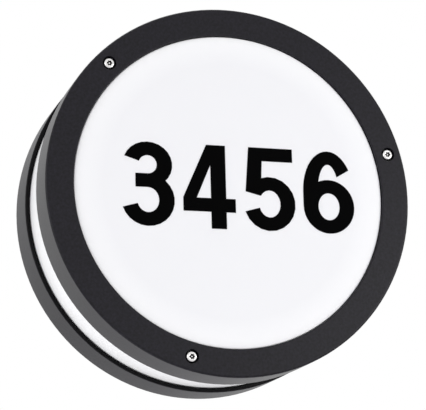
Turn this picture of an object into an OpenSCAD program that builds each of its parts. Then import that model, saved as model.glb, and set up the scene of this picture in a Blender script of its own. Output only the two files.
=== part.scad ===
// Round outdoor bulkhead light for a wall, with an opal pot, a cast front ring and figures on its window.
// Every piece is drawn on the bench, wall plane at z = 0 and window upwards, and upright() hangs it on the
// wall: the window then looks along -Y and the top of the light is +Z. The origin is the middle of the
// circle of wall fixings.

/* [Overall] */
// Outer diameter of the rear housing and of the front ring
body_d = 300; // [290:1:340]
// Depth of the rear housing, from the wall to its rim
housing_h = 38; // [36:0.5:60]
// Depth of the light band between housing and ring
band_h = 42.5; // [36:0.5:80]
// Depth of the front ring's side wall
ring_h = 36.5; // [30:0.5:50]

/* [Front ring] */
// Width of the ring's flat face, from the outer edge to the window
ring_face = 22.5; // [22:0.25:28]
// Wall thickness of the ring casting
ring_wall = 3; // [2.5:0.1:3.4]
// Radius of the ring's outer front edge
ring_round = 1.8; // [0.8:0.1:2.2]
// Radius of the ring's small edges
ring_edge = 0.8; // [0.3:0.1:1]
// Depth of the screw pads behind the ring's face plate
pad_h = 3.7; // [3:0.1:6]
// How far a pad runs into the side wall
pad_lap = 0.4; // [0.2:0.1:1]
// Diameter of the counterbores for the screw heads
counterbore_d = 11.2; // [10.8:0.1:13]
// Depth of the counterbores
counterbore_h = 4.2; // [3.8:0.1:4.6]
// Chamfer at the mouth of the counterbores
counterbore_edge = 0.2; // [0.1:0.1:0.6]

/* [Diffuser] */
// Wall thickness of the opal pot
diffuser_t = 2; // [1.5:0.1:2.4]
// Gap between the pot and the castings round it
diffuser_gap = 1.1; // [0.3:0.05:1.2]
// How far the window lies behind the ring's face
window_inset = 2.5; // [1.5:0.1:3]
// Gap between the window's step and the ring
window_gap = 0.3; // [0.2:0.05:0.6]
// Outer radius of the pot's shoulder
shoulder_round = 3; // [2.4:0.1:3.4]
// Radius of the window's edge
window_edge = 0.8; // [0.3:0.1:1.2]
// Width of the seal between ring and shoulder
window_seal_w = 2; // [1.4:0.1:2.2]
// Gap round a cover screw in the pot's shoulder
shoulder_hole_gap = 0.4; // [0.25:0.05:0.7]

/* [Cover screws] */
// Clock position of the first screw, in degrees from the top
screw_clock = 75; // [65:1:85]
// Thread diameter
screw_d = 5; // [4:0.5:6]
// Length under the head
screw_l = 16; // [14:1:20]
// Diameter of the button head
head_d = 9.5; // [9:0.1:10.4]
// Height of the button head
head_h = 2.75; // [2.4:0.05:3]
// Diameter of the six-lobed socket
socket_d = 4.6; // [4:0.1:5]
// Depth of the socket
socket_h = 1.8; // [1.2:0.1:2]
// Width of the flat round the socket
socket_rim = 0.6; // [0.3:0.1:0.8]
// Diameter of the pin in the socket
socket_pin_d = 1.6; // [1:0.1:1.8]
// How far the pin ends below the socket's mouth
socket_pin_drop = 0.2; // [0.1:0.1:0.8]
// Gap round a cover screw in the ring
screw_hole_gap = 0.25; // [0.15:0.05:0.5]
// Thickness of the O-ring under the head
oring_t = 1.1; // [0.8:0.1:1.4]
// Thread pitch
screw_pitch = 0.8; // [0.5:0.05:1.25]
// Length under the head that has no thread
screw_neck_l = 4; // [2:0.5:6]
// Depth of the thread
screw_thread_h = 0.4; // [0.3:0.05:0.5]

/* [Standoffs] */
// Width across the flats of the hexagon standoffs
post_af = 8; // [7:0.25:8.5]
// Gap between standoff and shoulder while the seal carries the pot
post_gap = 0.3; // [0.2:0.05:0.8]
// Depth of the threaded bore in the standoff
post_bore_h = 18; // [15:1:24]
// Length of the standoff's stud
stud_l = 10; // [6:1:14]
// Diameter of the cast boss under a standoff
boss_d = 14; // [11:0.5:15]

/* [Rear housing] */
// Wall thickness of the housing casting
housing_wall = 3; // [2.5:0.1:3.5]
// Thickness of the floor
floor_t = 3; // [2.5:0.1:4]
// Depth from the rim to the ledge that carries the diffuser
ledge_drop = 10; // [8:0.5:12]
// Thickness of the ledge
ledge_t = 3.5; // [2.5:0.1:5]
// Width of the open channel behind the ledge
channel_w = 4.5; // [4:0.25:5.5]
// Number of ribs across the channel
rib_n = 12; // [6:1:24]
// Thickness of a rib
rib_t = 2; // [1.5:0.1:3]
// Radius of the housing's outer edges
housing_round = 1.2; // [0.5:0.1:1.8]
// Height of the diffuser's seal
seal_h = 3; // [2:0.1:4]
// Width of the diffuser's seal
seal_w = 3; // [2.2:0.1:3.4]
// Gap between the diffuser's seal and the side wall
seal_gap = 0.2; // [0.1:0.05:0.4]

/* [Wall fixings] */
// Distance from the body's edge to the circle of wall fixings
fixing_inset = 40; // [38:0.5:44]
// Diameter of the fixing holes
fixing_d = 5.5; // [4.5:0.1:7]
// Diameter of the pads round the fixing holes
fixing_pad_d = 18; // [14:0.5:20]
// Diameter of the tray's access holes over the fixings
access_d = 13; // [11:0.5:15]
// Thickness of the foam gasket on the wall
wall_gasket_t = 2; // [1.5:0.1:3]
// Width of the foam gasket
wall_gasket_w = 12; // [8:0.5:13]
// Distance from the body's edge to the middle of the foam gasket
wall_gasket_inset = 22; // [21:0.5:23]

/* [Cable entries] */
// Diameter of the entry holes in the floor
entry_d = 20; // [18:0.5:22]
// Sideways distance of an entry from the middle
entry_x = 30; // [26:1:36]
// Distance of the entries below the middle
entry_drop = 34; // [30:1:44]
// Diameter of the cable bore in the grommet
cable_d = 8.5; // [7:0.1:10]
// How far the rubber flanges reach over the hole's edge
flange_over = 3; // [2:0.1:4]
// Thickness of the rubber flanges
flange_t = 1.5; // [1:0.1:1.8]
// Length of the grommet's cone
cone_h = 9; // [6:0.5:11]
// Wall thickness at the cone's end
cone_wall = 1.8; // [1.4:0.1:3]
// Step between the hole's edge and the cone's foot
cone_step = 1; // [0.5:0.1:2]

/* [Gear tray] */
// Height of the tray above the housing's floor
tray_rise = 20; // [19:0.5:23]
// Sheet thickness of the tray
tray_t = 1; // [0.8:0.1:1.2]
// Height of the tray's turned-up rim
tray_rim_h = 8; // [4:0.5:12]
// Gap between the tray and the standoff bosses
tray_gap = 8; // [6:0.5:10]
// Distance from the body's edge to the tray screws
tray_screw_inset = 50; // [46:0.5:54]
// Diameter of the standoffs under the tray
pillar_d = 9; // [7.5:0.25:11]
// Diameter of a standoff's shank in the floor
pillar_shank_d = 7; // [6:0.25:7.25]
// Sideways place of the bush for the leads
bush_x = -53; // [-54:0.5:-52]
// Height of the bush above the middle
bush_y = 31; // [30:0.5:32]
// Diameter of the bush's hole in the tray
bush_d = 13; // [12:0.5:14]
// Wall thickness of the bush
bush_wall = 1.4; // [1:0.1:1.8]
// How far the bush's flanges reach over the hole's edge
bush_over = 1.5; // [1:0.1:2]
// Thickness of the bush's flanges
bush_flange_t = 1; // [0.8:0.1:1.4]

/* [Small screws] */
// Thread diameter of the tray, holder and earth screws
m4_d = 4; // [3.5:0.5:4.5]
// Head diameter of those screws
m4_head_d = 7.6; // [7:0.1:8]
// Head height of those screws
m4_head_h = 2.5; // [2:0.1:3]
// Length of a tray screw under the tray
tray_screw_l = 10; // [8:0.5:12]
// Thread diameter of the terminal block's screws
m3_d = 3; // [2.5:0.5:3.5]
// Head diameter of the block's fixing screws
m3_head_d = 5; // [4.6:0.1:5.4]
// Head height of the block's fixing screws
m3_head_h = 1.6; // [1.4:0.1:2.4]
// Gap round a piece that sits tight in its hole
fit = 0.05; // [0.02:0.01:0.1]
// Gap round a screw in a clearance hole
hole_gap = 0.15; // [0.1:0.05:0.3]
// Width of a driver slot
slot_w = 0.9; // [0.6:0.1:1.2]
// Depth of a driver slot
slot_h = 0.8; // [0.6:0.1:1.2]

/* [Lampholder] */
// Sideways place of the bracket's upright face, where the holder sits
seat_x = -70; // [-74:0.5:-66]
// Sheet thickness of the bracket
bracket_t = 1.5; // [1.2:0.1:2]
// Width of the bracket
bracket_w = 36; // [30:0.5:38]
// Length of the bracket's foot
bracket_foot = 22; // [18:0.5:24]
// Inner radius of the bracket's bend
bend_r = 1; // [0.5:0.1:1.5]
// Diameter of a rivet
rivet_d = 3.2; // [3:0.1:4]
// Diameter of a rivet's head
rivet_head_d = 6.4; // [6:0.1:7]
// Height of a rivet's head
rivet_head_h = 1; // [0.8:0.1:1.4]
// Diameter of a rivet's closed end
rivet_end_d = 4.6; // [4.4:0.1:5.4]
// Height of a rivet's closed end
rivet_end_h = 1.6; // [1.2:0.1:2]
// Distance from the bracket's edge to a rivet
rivet_inset = 8; // [6:0.5:9]
// Diameter of the holder's base
holder_base_d = 42; // [40:0.5:43]
// Length of the holder's base
holder_base_l = 12; // [11:0.5:14]
// Diameter of the holder's barrel
holder_d = 38; // [36:0.5:40]
// Length of the whole holder
holder_l = 44; // [42:0.5:46]
// Diameter of the holder's bore
holder_bore_d = 30; // [29.6:0.1:32]
// Thickness of the ceramic behind the bore
holder_floor = 8; // [7:0.5:10]
// Distance between the holder's two fixing screws
holder_screw_gap = 24; // [22:0.5:26]
// Radius of the ceramic's outer edges
holder_round = 1.5; // [0.5:0.1:1.8]
// Distance between the middle and a lead's hole
lead_hole_y = 7; // [6:0.5:9]
// Distance from the lamp's axis to the end of a lead's hole
lead_hole_end = 13; // [11:0.5:14]
// Wall thickness of the threaded shell
shell_t = 0.8; // [0.5:0.05:1]
// Length of the threaded shell
shell_l = 31; // [28:0.5:32]
// Bore in the shell's foot
shell_foot_bore = 15; // [14:0.5:17]
// Length of the centre contact
contact_l = 3.4; // [2:0.1:4]
// Diameter of the centre contact
contact_d = 5; // [4:0.1:6]
// Width of the contact's strip
contact_w = 6; // [5:0.5:7]
// Length of the contact's strip
contact_strip_l = 12; // [10:0.5:12.5]

/* [Lamp] */
// Diameter of the lamp's thread
cap_d = 26.4; // [26:0.1:26.5]
// Length of the threaded cap
cap_l = 22; // [20:0.5:24]
// Pitch of the lamp's thread
cap_pitch = 3.629; // [3.6:0.001:3.7]
// Depth of the lamp's thread
cap_thread_h = 1; // [0.6:0.1:1.3]
// Gap between the lamp's thread and the shell
cap_fit = 0.1; // [0.05:0.01:0.3]
// Radius of the cap's edge at the insulator
cap_round = 1.6; // [1:0.1:2]
// Length of the insulator
insulator_l = 3; // [2:0.1:4]
// Diameter of the insulator at the tip
insulator_d = 9; // [8:0.5:11]
// Length of the tip
tip_l = 2.5; // [2.2:0.1:3]
// Radius of the tip's rounded end
tip_r = 1.6; // [1.2:0.1:1.8]
// Diameter of the tip's flange
tip_flange_d = 7; // [6:0.1:8]
// Gap between the lamp's tip and the centre contact
tip_gap = 0.1; // [0.05:0.05:0.3]
// Diameter of the envelope
envelope_d = 60; // [55:1:60]
// Diameter of the envelope's open end
envelope_mouth_d = 53; // [48:0.5:54]
// Wall thickness of the envelope
envelope_t = 1.5; // [1:0.1:2]
// Distance from the cap's end to the envelope
collar_l = 35; // [30:0.5:38]
// How far the collar stands outside the cap
collar_wall = 0.9; // [0.5:0.1:1.2]
// Length of the collar's straight end
collar_end_l = 5; // [4:0.5:7]
// Diameter of the light board
board_d = 37; // [30:0.5:40]
// Thickness of the light board
board_t = 1.6; // [1:0.1:2]
// Length of a light chip
chip_l = 3.2; // [2.5:0.1:4]
// Width of a light chip
chip_w = 2.8; // [2.5:0.1:4]
// Height of a light chip
chip_h = 0.8; // [0.5:0.1:1]
// Distance of the light chips from the board's edge
chip_inset = 5.2; // [4:0.1:6]
// Gap between the envelope and the tray
lamp_gap = 6; // [5:0.5:8]

/* [Terminal block] */
// Distance between neighbouring poles
pole_gap = 10; // [9:0.5:11]
// Width of the block along the leads
block_w = 18; // [16:0.5:20]
// Height of the block
block_h = 15; // [14:0.5:16]
// Distance of the block above the middle
block_y = 25; // [24:0.5:26]
// Wall outside the outer poles
block_wall = 3.8; // [3:0.1:5]
// Height of the pads under the block
block_pad_h = 3; // [2.5:0.1:3.5]
// Diameter of the pads under the block
block_pad_d = 7; // [6:0.5:8]
// Height of the poles above the block's foot
pole_rise = 6.5; // [6:0.1:7]
// How far a clamp stays inside the block's ends
clamp_inset = 1; // [0.5:0.1:2]
// Length of a clamp screw
clamp_screw_l = 6; // [5:0.1:6.5]
// Diameter of the driver holes over the clamp screws
driver_hole_d = 4; // [3.8:0.1:4.4]
// Outer diameter of a brass clamp
clamp_d = 6.4; // [6:0.1:7]
// Bore of a brass clamp
clamp_bore_d = 3.2; // [2.8:0.1:3.6]
// Sideways place of the earth boss
earth_x = 34; // [33:0.5:35]
// Height of the earth boss above the middle
earth_y = 26; // [25:0.5:27]
// Height of the earth boss above the floor
earth_boss_h = 6; // [5:0.5:7]
// Diameter of the earth boss
earth_boss_d = 10; // [8:0.5:12]
// Diameter of the earth tag's ring
tag_d = 8.4; // [8:0.1:9]
// Thickness of the earth tag
tag_t = 0.8; // [0.6:0.1:1]
// Distance from the earth screw to the tag's barrel
tag_barrel_y = 5.2; // [5:0.1:6]
// Length of the tag's barrel
tag_barrel_l = 7.8; // [6:0.1:9]
// Diameter of an insulated lead
lead_d = 2.2; // [1.8:0.1:2.4]
// Gap round a lead where it enters a hole, and over it under a clamp screw
lead_gap = 0.3; // [0.2:0.05:0.4]

/* [Figures] */
// Height of the figures
figure_h = 68; // [60:0.5:80]
// Width of a figure
figure_w = 43; // [40:0.5:50]
// Stroke width of the figures
figure_s = 12.5; // [9:0.5:14]
// Gap between two figures
figure_gap = 7; // [3:0.5:10]
// Sideways place of the middle of the figures
figure_x = 7; // [-10:0.5:10]
// Height of the middle of the figures
figure_y = 2; // [-10:0.5:10]
// Thickness of the film that the figures are cut from
figure_t = 0.3; // [0.2:0.05:0.5]

/* [Hidden] */

// Finishes
coat = "#35343a";
opal = "#f4f4f8";
white = "#f2f2ee";
steel = "#b9bcc0";
zinc = "#a7acb0";
brass = "#c8a24a";
porcelain = "#efece2";
black = "#161616";
grey_rubber = "#4a4a4c";

// Smoothness of large turnings, of small turnings, of edges and of the envelope's dome
big_fn = 180;
small_fn = 48;
edge_n = 4;
dome_n = 24;
// How far a cut runs past a face, and how far a joined piece runs into its neighbour
cut = 1;
lap = 0.5;
// Metal left under a blind hole
blind = 1;

// Radii from the middle axis outwards
body_r = body_d / 2;
window_r = body_r - ring_face;
screw_r = body_r - ring_face / 2;
ring_in_r = body_r - ring_wall;
step_r = window_r - window_gap;
pot_r = min(body_r - ring_wall, body_r - housing_wall) - diffuser_gap;
pot_in_r = pot_r - diffuser_t;
housing_in_r = body_r - housing_wall;
channel_in_r = housing_in_r - channel_w;
ledge_in_r = channel_in_r - housing_wall;
seal_out_r = housing_in_r - seal_gap;
fixing_r = body_r - fixing_inset;
tray_screw_r = body_r - tray_screw_inset;
tray_r = screw_r - boss_d / 2 - tray_gap;
pad_r = ring_face / 2 - ring_wall + pad_lap;
window_seal_r = window_r + window_gap + window_seal_w;

// Heights from the wall forwards
floor_z = wall_gasket_t;
floor_top = floor_z + floor_t;
ledge_z = housing_h - ledge_drop;
pot_end_z = ledge_z + seal_h;
ring_back_z = housing_h + band_h;
front_z = ring_back_z + ring_h;
plate_z = front_z - ring_wall;
shoulder_z = plate_z - pad_h;
shoulder_in_z = shoulder_z - diffuser_t;
window_z = front_z - window_inset;
post_top_z = shoulder_in_z - post_gap;
head_seat_z = front_z - counterbore_h;
oring_gap = 0.05;
chamfer = 0.3;
head_z = head_seat_z + oring_t + 2 * oring_gap;
tray_z = floor_top + tray_rise;
tray_top = tray_z + tray_t;

// The lamp's axis lies across the light, cap to the left
axis_z = tray_top + lamp_gap + envelope_d / 2;
contact_x = seat_x + holder_floor + contact_l;
tip_x = contact_x + tip_gap;
cap_x = tip_x + tip_l + insulator_l;
cap_end_x = cap_x + cap_l;
collar_end_x = cap_end_x + collar_l;
cap_root_r = cap_d / 2 - cap_thread_h;
cap_foot_r = cap_root_r - cap_round;

// Places of repeated pieces
function screw_angle(i) = screw_clock + 120 * i;
function fixing_angle(i) = 120 * i;
function pillar_angle(i) = 60 + 120 * i;
poles = [-pole_gap, 0, pole_gap];
block_l = 2 * pole_gap + clamp_d + 2 * block_wall;
block_z = floor_top + block_pad_h;
pole_z = block_z + pole_rise;
clamp_l = block_w - 2 * clamp_inset;
clamp_screw_y = [-clamp_l / 4, clamp_l / 4];

// Points of an arc about (x, y), from angle a to angle b
function arc(x, y, r, a, b, n = edge_n) =
  [for (i = [0:n]) [x + r * cos(a + (b - a) * i / n), y + r * sin(a + (b - a) * i / n)]];

// Zigzag outline of a thread's flank, from height a upwards: crest radius r, root r - d, n turns of pitch p
function thread(r, d, p, n, a) =
  [for (i = [0:n - 1], k = [0:2]) [k == 1 ? r : r - d, a + p * (i + [0.1, 0.5, 0.9][k])]];

// Hangs a piece drawn on the bench on the wall
module upright() {
  rotate([90, 0, 0]) children();
}

// Places children at a clock position, radius r from the middle, +y outwards
module at_clock(angle, r) {
  rotate([0, 0, -angle]) translate([0, r, 0]) children();
}

// Turns children's +z to the bench's +x, along the lamp's axis
module on_lamp_axis(x) {
  translate([x, 0, axis_z]) rotate([0, 90, 0]) children();
}

// A cylinder from height a to height b
module disc(d, a, b, fn = small_fn) {
  translate([0, 0, a]) cylinder(d = d, h = b - a, $fn = fn);
}

// A tube from height a to height b
module tube(d, bore, a, b, fn = small_fn) {
  difference() {
    disc(d, a, b, fn);
    disc(bore, a - cut, b + cut, fn);
  }
}

// Flat-topped slotted screw, head's seat at z = 0 and thread downwards
module slotted_screw(d, l, head, height) {
  difference() {
    union() {
      rotate_extrude($fn = small_fn) polygon(concat(
        [[0, 0], [head / 2, 0]],
        arc(head / 2 - height / 2, height / 2, height / 2, 0, 90),
        [[0, height]]
      ));
      disc(d - 2 * fit, -l, lap);
    }
    translate([-head, -slot_w / 2, height - slot_h]) cube([2 * head, slot_w, height]);
  }
}

// Round lead with 8 sides along a smooth curve through points p, n rings in each stretch
module lead(p, n = 3) {
  last = len(p) - 1;
  function at(i) = i < 0 ? 2 * p[0] - p[1] : i > last ? 2 * p[last] - p[last - 1] : p[i];
  function spline(i, t) = 0.5 * (2 * at(i) + (at(i + 1) - at(i - 1)) * t
    + (2 * at(i - 1) - 5 * at(i) + 4 * at(i + 1) - at(i + 2)) * t * t
    + (3 * at(i) - at(i - 1) - 3 * at(i + 1) + at(i + 2)) * t * t * t);
  path = concat([for (i = [0:last - 1], k = [0:n - 1]) spline(i, k / n)], [p[last]]);
  rings = len(path);
  function along(i) = let (d = path[min(i + 1, rings - 1)] - path[max(i - 1, 0)]) d / norm(d);
  function unit(v) = v / norm(v);
  sides = 8;
  points = [for (i = [0:rings - 1])
    let (t = along(i), u = unit(cross(t, [0.31, 0.42, 0.85])), v = cross(t, u))
    for (k = [0:sides - 1])
    path[i] + lead_d / 2 * (cos(360 * k / sides) * u + sin(360 * k / sides) * v)];
  ends = [[for (k = [0:sides - 1]) k], [for (k = [sides - 1:-1:0]) (rings - 1) * sides + k]];
  skin = [for (i = [0:rings - 2], k = [0:sides - 1], h = [0, 1])
    let (a = i * sides + k, b = i * sides + (k + 1) % sides)
    h == 0 ? [a, a + sides, b] : [b, a + sides, b + sides]];
  polyhedron(points, concat(ends, skin));
}

// Rear housing: a pan with a double side wall, open at the back between ribs
housing_outline = concat(
  [[0, floor_z], [channel_in_r, floor_z], [channel_in_r, ledge_z - ledge_t]],
  [[housing_in_r, ledge_z - ledge_t], [housing_in_r, 0]],
  arc(body_r - housing_round / 2, housing_round / 2, housing_round / 2, -90, 0),
  arc(body_r - housing_round, housing_h - housing_round, housing_round, 0, 90),
  [[housing_in_r, housing_h], [housing_in_r, ledge_z], [ledge_in_r, ledge_z]],
  [[ledge_in_r, floor_top], [0, floor_top]]
);

module housing_ribs() {
  rib_h = ledge_z - ledge_t + lap - floor_z;
  for (i = [0:rib_n - 1]) {
    at_clock(360 / rib_n * i, channel_in_r - lap)
      translate([-rib_t / 2, 0, floor_z]) cube([rib_t, channel_w + 2 * lap, rib_h]);
  }
}

module housing_bosses() {
  for (i = [0:2]) {
    at_clock(screw_angle(i), screw_r) disc(boss_d, floor_z, ledge_z);
    at_clock(fixing_angle(i), fixing_r) disc(fixing_pad_d, 0, floor_top);
  }
  for (x = [-pole_gap / 2, pole_gap / 2]) {
    translate([x, block_y, 0]) disc(block_pad_d, floor_top - lap, block_z);
  }
  translate([earth_x, earth_y, 0]) disc(earth_boss_d, floor_top - lap, floor_top + earth_boss_h);
}

module housing_holes() {
  for (i = [0:2]) {
    at_clock(screw_angle(i), screw_r) disc(screw_d, ledge_z - stud_l - cut, ledge_z + cut);
    at_clock(pillar_angle(i), tray_screw_r) disc(pillar_shank_d, floor_z + blind, floor_top + cut);
    at_clock(fixing_angle(i), fixing_r) disc(fixing_d, -cut, floor_top + cut);
  }
  for (x = [-entry_x, entry_x]) {
    translate([x, -entry_drop, 0]) disc(entry_d, -cut, floor_top + cut);
  }
  for (x = [-pole_gap / 2, pole_gap / 2]) {
    translate([x, block_y, 0]) disc(m3_d, floor_z + blind, block_z + cut);
  }
  translate([earth_x, earth_y, 0]) disc(m4_d, floor_z + blind, floor_top + earth_boss_h + cut);
}

module rear_housing() {
  color(coat) upright() difference() {
    union() {
      rotate_extrude($fn = big_fn) polygon(housing_outline);
      housing_ribs();
      housing_bosses();
    }
    housing_holes();
  }
}

module wall_gasket() {
  wall_gasket_r = body_r - wall_gasket_inset;
  color(black) upright()
    tube(2 * wall_gasket_r + wall_gasket_w, 2 * wall_gasket_r - wall_gasket_w, 0, wall_gasket_t, big_fn);
}

// Rubber body of a cable entry: two flanges, a neck in the hole and a cone inside
module entry_rubber() {
  flange_r = entry_d / 2 + flange_over;
  neck_r = entry_d / 2 - fit;
  cone_r = cable_d / 2 + cone_wall;
  front = floor_top + flange_t;
  rotate_extrude($fn = small_fn) polygon([
    [0, floor_z - flange_t], [flange_r, floor_z - flange_t], [flange_r, floor_z], [neck_r, floor_z],
    [neck_r, floor_top], [flange_r, floor_top], [flange_r, front], [neck_r - cone_step, front],
    [cone_r, front + cone_h], [0, front + cone_h]
  ]);
}

module cable_grommet() {
  color(grey_rubber) upright() translate([-entry_x, -entry_drop, 0]) difference() {
    entry_rubber();
    disc(cable_d, floor_z - flange_t - cut, floor_top + flange_t + cone_h + cut);
  }
}

// The plug is the same rubber with its bore closed by a web at the wall side
module blanking_plug() {
  color(grey_rubber) upright() translate([entry_x, -entry_drop, 0]) difference() {
    entry_rubber();
    disc(cable_d, floor_top, floor_top + flange_t + cone_h + cut);
  }
}

module cover_posts() {
  color(zinc) upright() for (i = [0:2]) {
    at_clock(screw_angle(i), screw_r) difference() {
      union() {
        disc(post_af / cos(30), ledge_z, post_top_z, 6);
        disc(screw_d - 2 * fit, ledge_z - stud_l, ledge_z + lap);
      }
      disc(screw_d, post_top_z - post_bore_h, post_top_z + cut);
    }
  }
}

// Standoffs under the tray, pressed into the floor
module tray_standoffs() {
  color(zinc) upright() for (i = [0:2]) {
    at_clock(pillar_angle(i), tray_screw_r) difference() {
      union() {
        disc(pillar_d, floor_top, tray_z);
        disc(pillar_shank_d - 2 * fit, floor_z + blind, floor_top + lap);
      }
      disc(m4_d, tray_z - tray_screw_l - cut, tray_z + cut);
    }
  }
}

module diffuser_seal() {
  color(black) upright() tube(2 * seal_out_r, 2 * (seal_out_r - seal_w), ledge_z, pot_end_z, big_fn);
}

// Gear tray: a white dish with access holes over the wall fixings
module gear_tray() {
  color(white) upright() difference() {
    rotate_extrude($fn = big_fn) polygon([
      [0, tray_z], [tray_r, tray_z], [tray_r, tray_z + tray_rim_h], [tray_r - tray_t, tray_z + tray_rim_h],
      [tray_r - tray_t, tray_top], [0, tray_top]
    ]);
    for (i = [0:2]) {
      at_clock(pillar_angle(i), tray_screw_r) disc(m4_d + 2 * hole_gap, tray_z - cut, tray_top + cut);
      at_clock(fixing_angle(i), fixing_r) disc(access_d, tray_z - cut, tray_top + cut);
    }
    translate([bush_x, bush_y, 0]) disc(bush_d, tray_z - cut, tray_top + cut);
    for (y = [-rivet_y, rivet_y]) {
      translate([rivet_x, y, 0]) disc(rivet_d, tray_z - cut, tray_top + cut);
    }
  }
}

module tray_screws() {
  color(zinc) upright() for (i = [0:2]) {
    at_clock(pillar_angle(i), tray_screw_r) translate([0, 0, tray_top])
      slotted_screw(m4_d, tray_screw_l + tray_t, m4_head_d, m4_head_h);
  }
}

module tray_bush() {
  back = tray_z - bush_flange_t;
  front = tray_top + bush_flange_t;
  color(black) upright() translate([bush_x, bush_y, 0]) difference() {
    union() {
      disc(bush_d + 2 * bush_over, back, tray_z);
      disc(bush_d - 2 * fit, back, front);
      disc(bush_d + 2 * bush_over, tray_top, front);
    }
    disc(bush_d - 2 * bush_wall, back - cut, front + cut);
  }
}

// Lampholder bracket: an angle of sheet steel with a round head behind the holder
rivet_x = seat_x - bracket_foot / 2 - bracket_t;
rivet_y = bracket_w / 2 - rivet_inset;

module bracket_sheet() {
  foot_x = seat_x - bracket_foot;
  intersection() {
    translate([0, bracket_w / 2, 0]) rotate([90, 0, 0]) linear_extrude(bracket_w) polygon(concat(
      [[foot_x, tray_top]],
      arc(seat_x - bend_r - bracket_t, tray_top + bend_r + bracket_t, bend_r + bracket_t, -90, 0),
      [[seat_x, axis_z + bracket_w], [seat_x - bracket_t, axis_z + bracket_w]],
      arc(seat_x - bend_r - bracket_t, tray_top + bend_r + bracket_t, bend_r, 0, -90),
      [[foot_x, tray_top + bracket_t]]
    ));
    union() {
      translate([foot_x, -bracket_w / 2, tray_top]) cube([bracket_foot, bracket_w, axis_z - tray_top]);
      on_lamp_axis(foot_x) disc(bracket_w, 0, bracket_foot, big_fn);
    }
  }
}

module lampholder_bracket() {
  color(zinc) upright() difference() {
    bracket_sheet();
    for (y = [-holder_screw_gap / 2, holder_screw_gap / 2]) {
      on_lamp_axis(seat_x - bracket_t) translate([0, y, 0]) disc(m4_d + 2 * hole_gap, -cut, bracket_t + cut);
    }
    for (y = [-rivet_y, rivet_y]) {
      translate([rivet_x, y, 0]) disc(rivet_d, tray_top - cut, tray_top + bracket_t + cut);
    }
  }
}

module bracket_rivets() {
  color(steel) upright() for (y = [-rivet_y, rivet_y]) {
    translate([rivet_x, y, 0]) {
      disc(rivet_d - 2 * fit, tray_z - lap, tray_top + bracket_t + lap);
      disc(rivet_end_d, tray_z - rivet_end_h, tray_z);
      translate([0, 0, tray_top + bracket_t]) rotate_extrude($fn = small_fn) polygon(concat(
        [[0, 0]],
        arc(rivet_head_d / 2 - rivet_head_h, 0, rivet_head_h, 0, 90),
        [[0, rivet_head_h]]
      ));
    }
  }
}

// Ceramic lampholder, mouth towards +x
lead_hole_d = lead_d + 2 * lead_gap;
lead_hole_l = holder_floor / 2;

module lampholder_body() {
  base_r = holder_base_d / 2;
  barrel_r = holder_d / 2;
  color(porcelain) upright() on_lamp_axis(seat_x) difference() {
    rotate_extrude($fn = 96) polygon(concat(
      [[0, 0], [base_r, 0]],
      arc(base_r - holder_round, holder_base_l - holder_round, holder_round, 0, 90),
      [[barrel_r, holder_base_l]],
      arc(barrel_r - holder_round, holder_l - holder_round, holder_round, 0, 90),
      [[holder_bore_d / 2, holder_l], [holder_bore_d / 2, holder_floor], [0, holder_floor]]
    ));
    for (y = [-holder_screw_gap / 2, holder_screw_gap / 2]) {
      translate([0, y, 0]) disc(m4_d, -cut, holder_floor - blind);
    }
    for (y = [-lead_hole_y, lead_hole_y]) {
      translate([0, y, lead_hole_l]) rotate([0, 90, 0]) disc(lead_hole_d, lead_hole_end, base_r + cut);
    }
  }
}

module lampholder_screws() {
  color(zinc) upright() for (y = [-holder_screw_gap / 2, holder_screw_gap / 2]) {
    on_lamp_axis(seat_x - bracket_t) translate([0, y, 0]) rotate([180, 0, 0])
      slotted_screw(m4_d, bracket_t + holder_floor - 2 * blind, m4_head_d, m4_head_h);
  }
}

// Threaded shell: a cup on the bore's floor, drawn plain inside with room for the lamp's crests
module lampholder_shell() {
  shell_r = cap_d / 2 + cap_fit;
  foot_r = holder_bore_d / 2 - fit;
  color(brass) upright() on_lamp_axis(seat_x + holder_floor) {
    tube(2 * foot_r, shell_foot_bore, 0, shell_t);
    tube(2 * (shell_r + shell_t), 2 * shell_r, 0, shell_l, 96);
  }
}

module lampholder_contact() {
  color(brass) upright() on_lamp_axis(seat_x + holder_floor) {
    translate([-contact_w / 2, -contact_strip_l / 2, 0]) cube([contact_w, contact_strip_l, shell_t]);
    disc(contact_d, 0, contact_l);
  }
}

module terminal_block() {
  color(white) upright() translate([0, block_y, 0]) difference() {
    translate([-block_l / 2, -block_w / 2, block_z]) cube([block_l, block_w, block_h]);
    for (x = poles) {
      translate([x, 0, pole_z]) rotate([90, 0, 0]) disc(clamp_d + 2 * fit, -block_w, block_w);
      for (y = clamp_screw_y) {
        translate([x, y, 0]) disc(driver_hole_d, pole_z, block_z + block_h + cut);
      }
    }
    for (x = [-pole_gap / 2, pole_gap / 2]) {
      translate([x, 0, 0]) disc(m3_d + 2 * fit, block_z - cut, block_z + block_h + cut);
    }
  }
}

module terminal_clamps() {
  color(brass) upright() translate([0, block_y, 0]) for (x = poles) {
    difference() {
      translate([x, 0, pole_z]) rotate([90, 0, 0]) tube(clamp_d, clamp_bore_d, -clamp_l / 2, clamp_l / 2);
      for (y = clamp_screw_y) {
        translate([x, y, 0]) disc(m3_d, pole_z, block_z + block_h);
      }
    }
  }
}

// Clamp screws stand on the lead, or just above where a lead will come
module terminal_screws() {
  color(steel) upright() for (x = poles, y = clamp_screw_y) {
    translate([x, block_y + y, pole_z + lead_d / 2 + lead_gap]) difference() {
      disc(m3_d - 2 * fit, 0, clamp_screw_l);
      translate([-m3_d, -slot_w / 2, clamp_screw_l - slot_h]) cube([2 * m3_d, slot_w, 2 * slot_h]);
    }
  }
}

module block_screws() {
  color(zinc) upright() for (x = [-pole_gap / 2, pole_gap / 2]) {
    translate([x, block_y, block_z + block_h])
      slotted_screw(m3_d, block_h + block_pad_h, m3_head_d, m3_head_h);
  }
}

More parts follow.
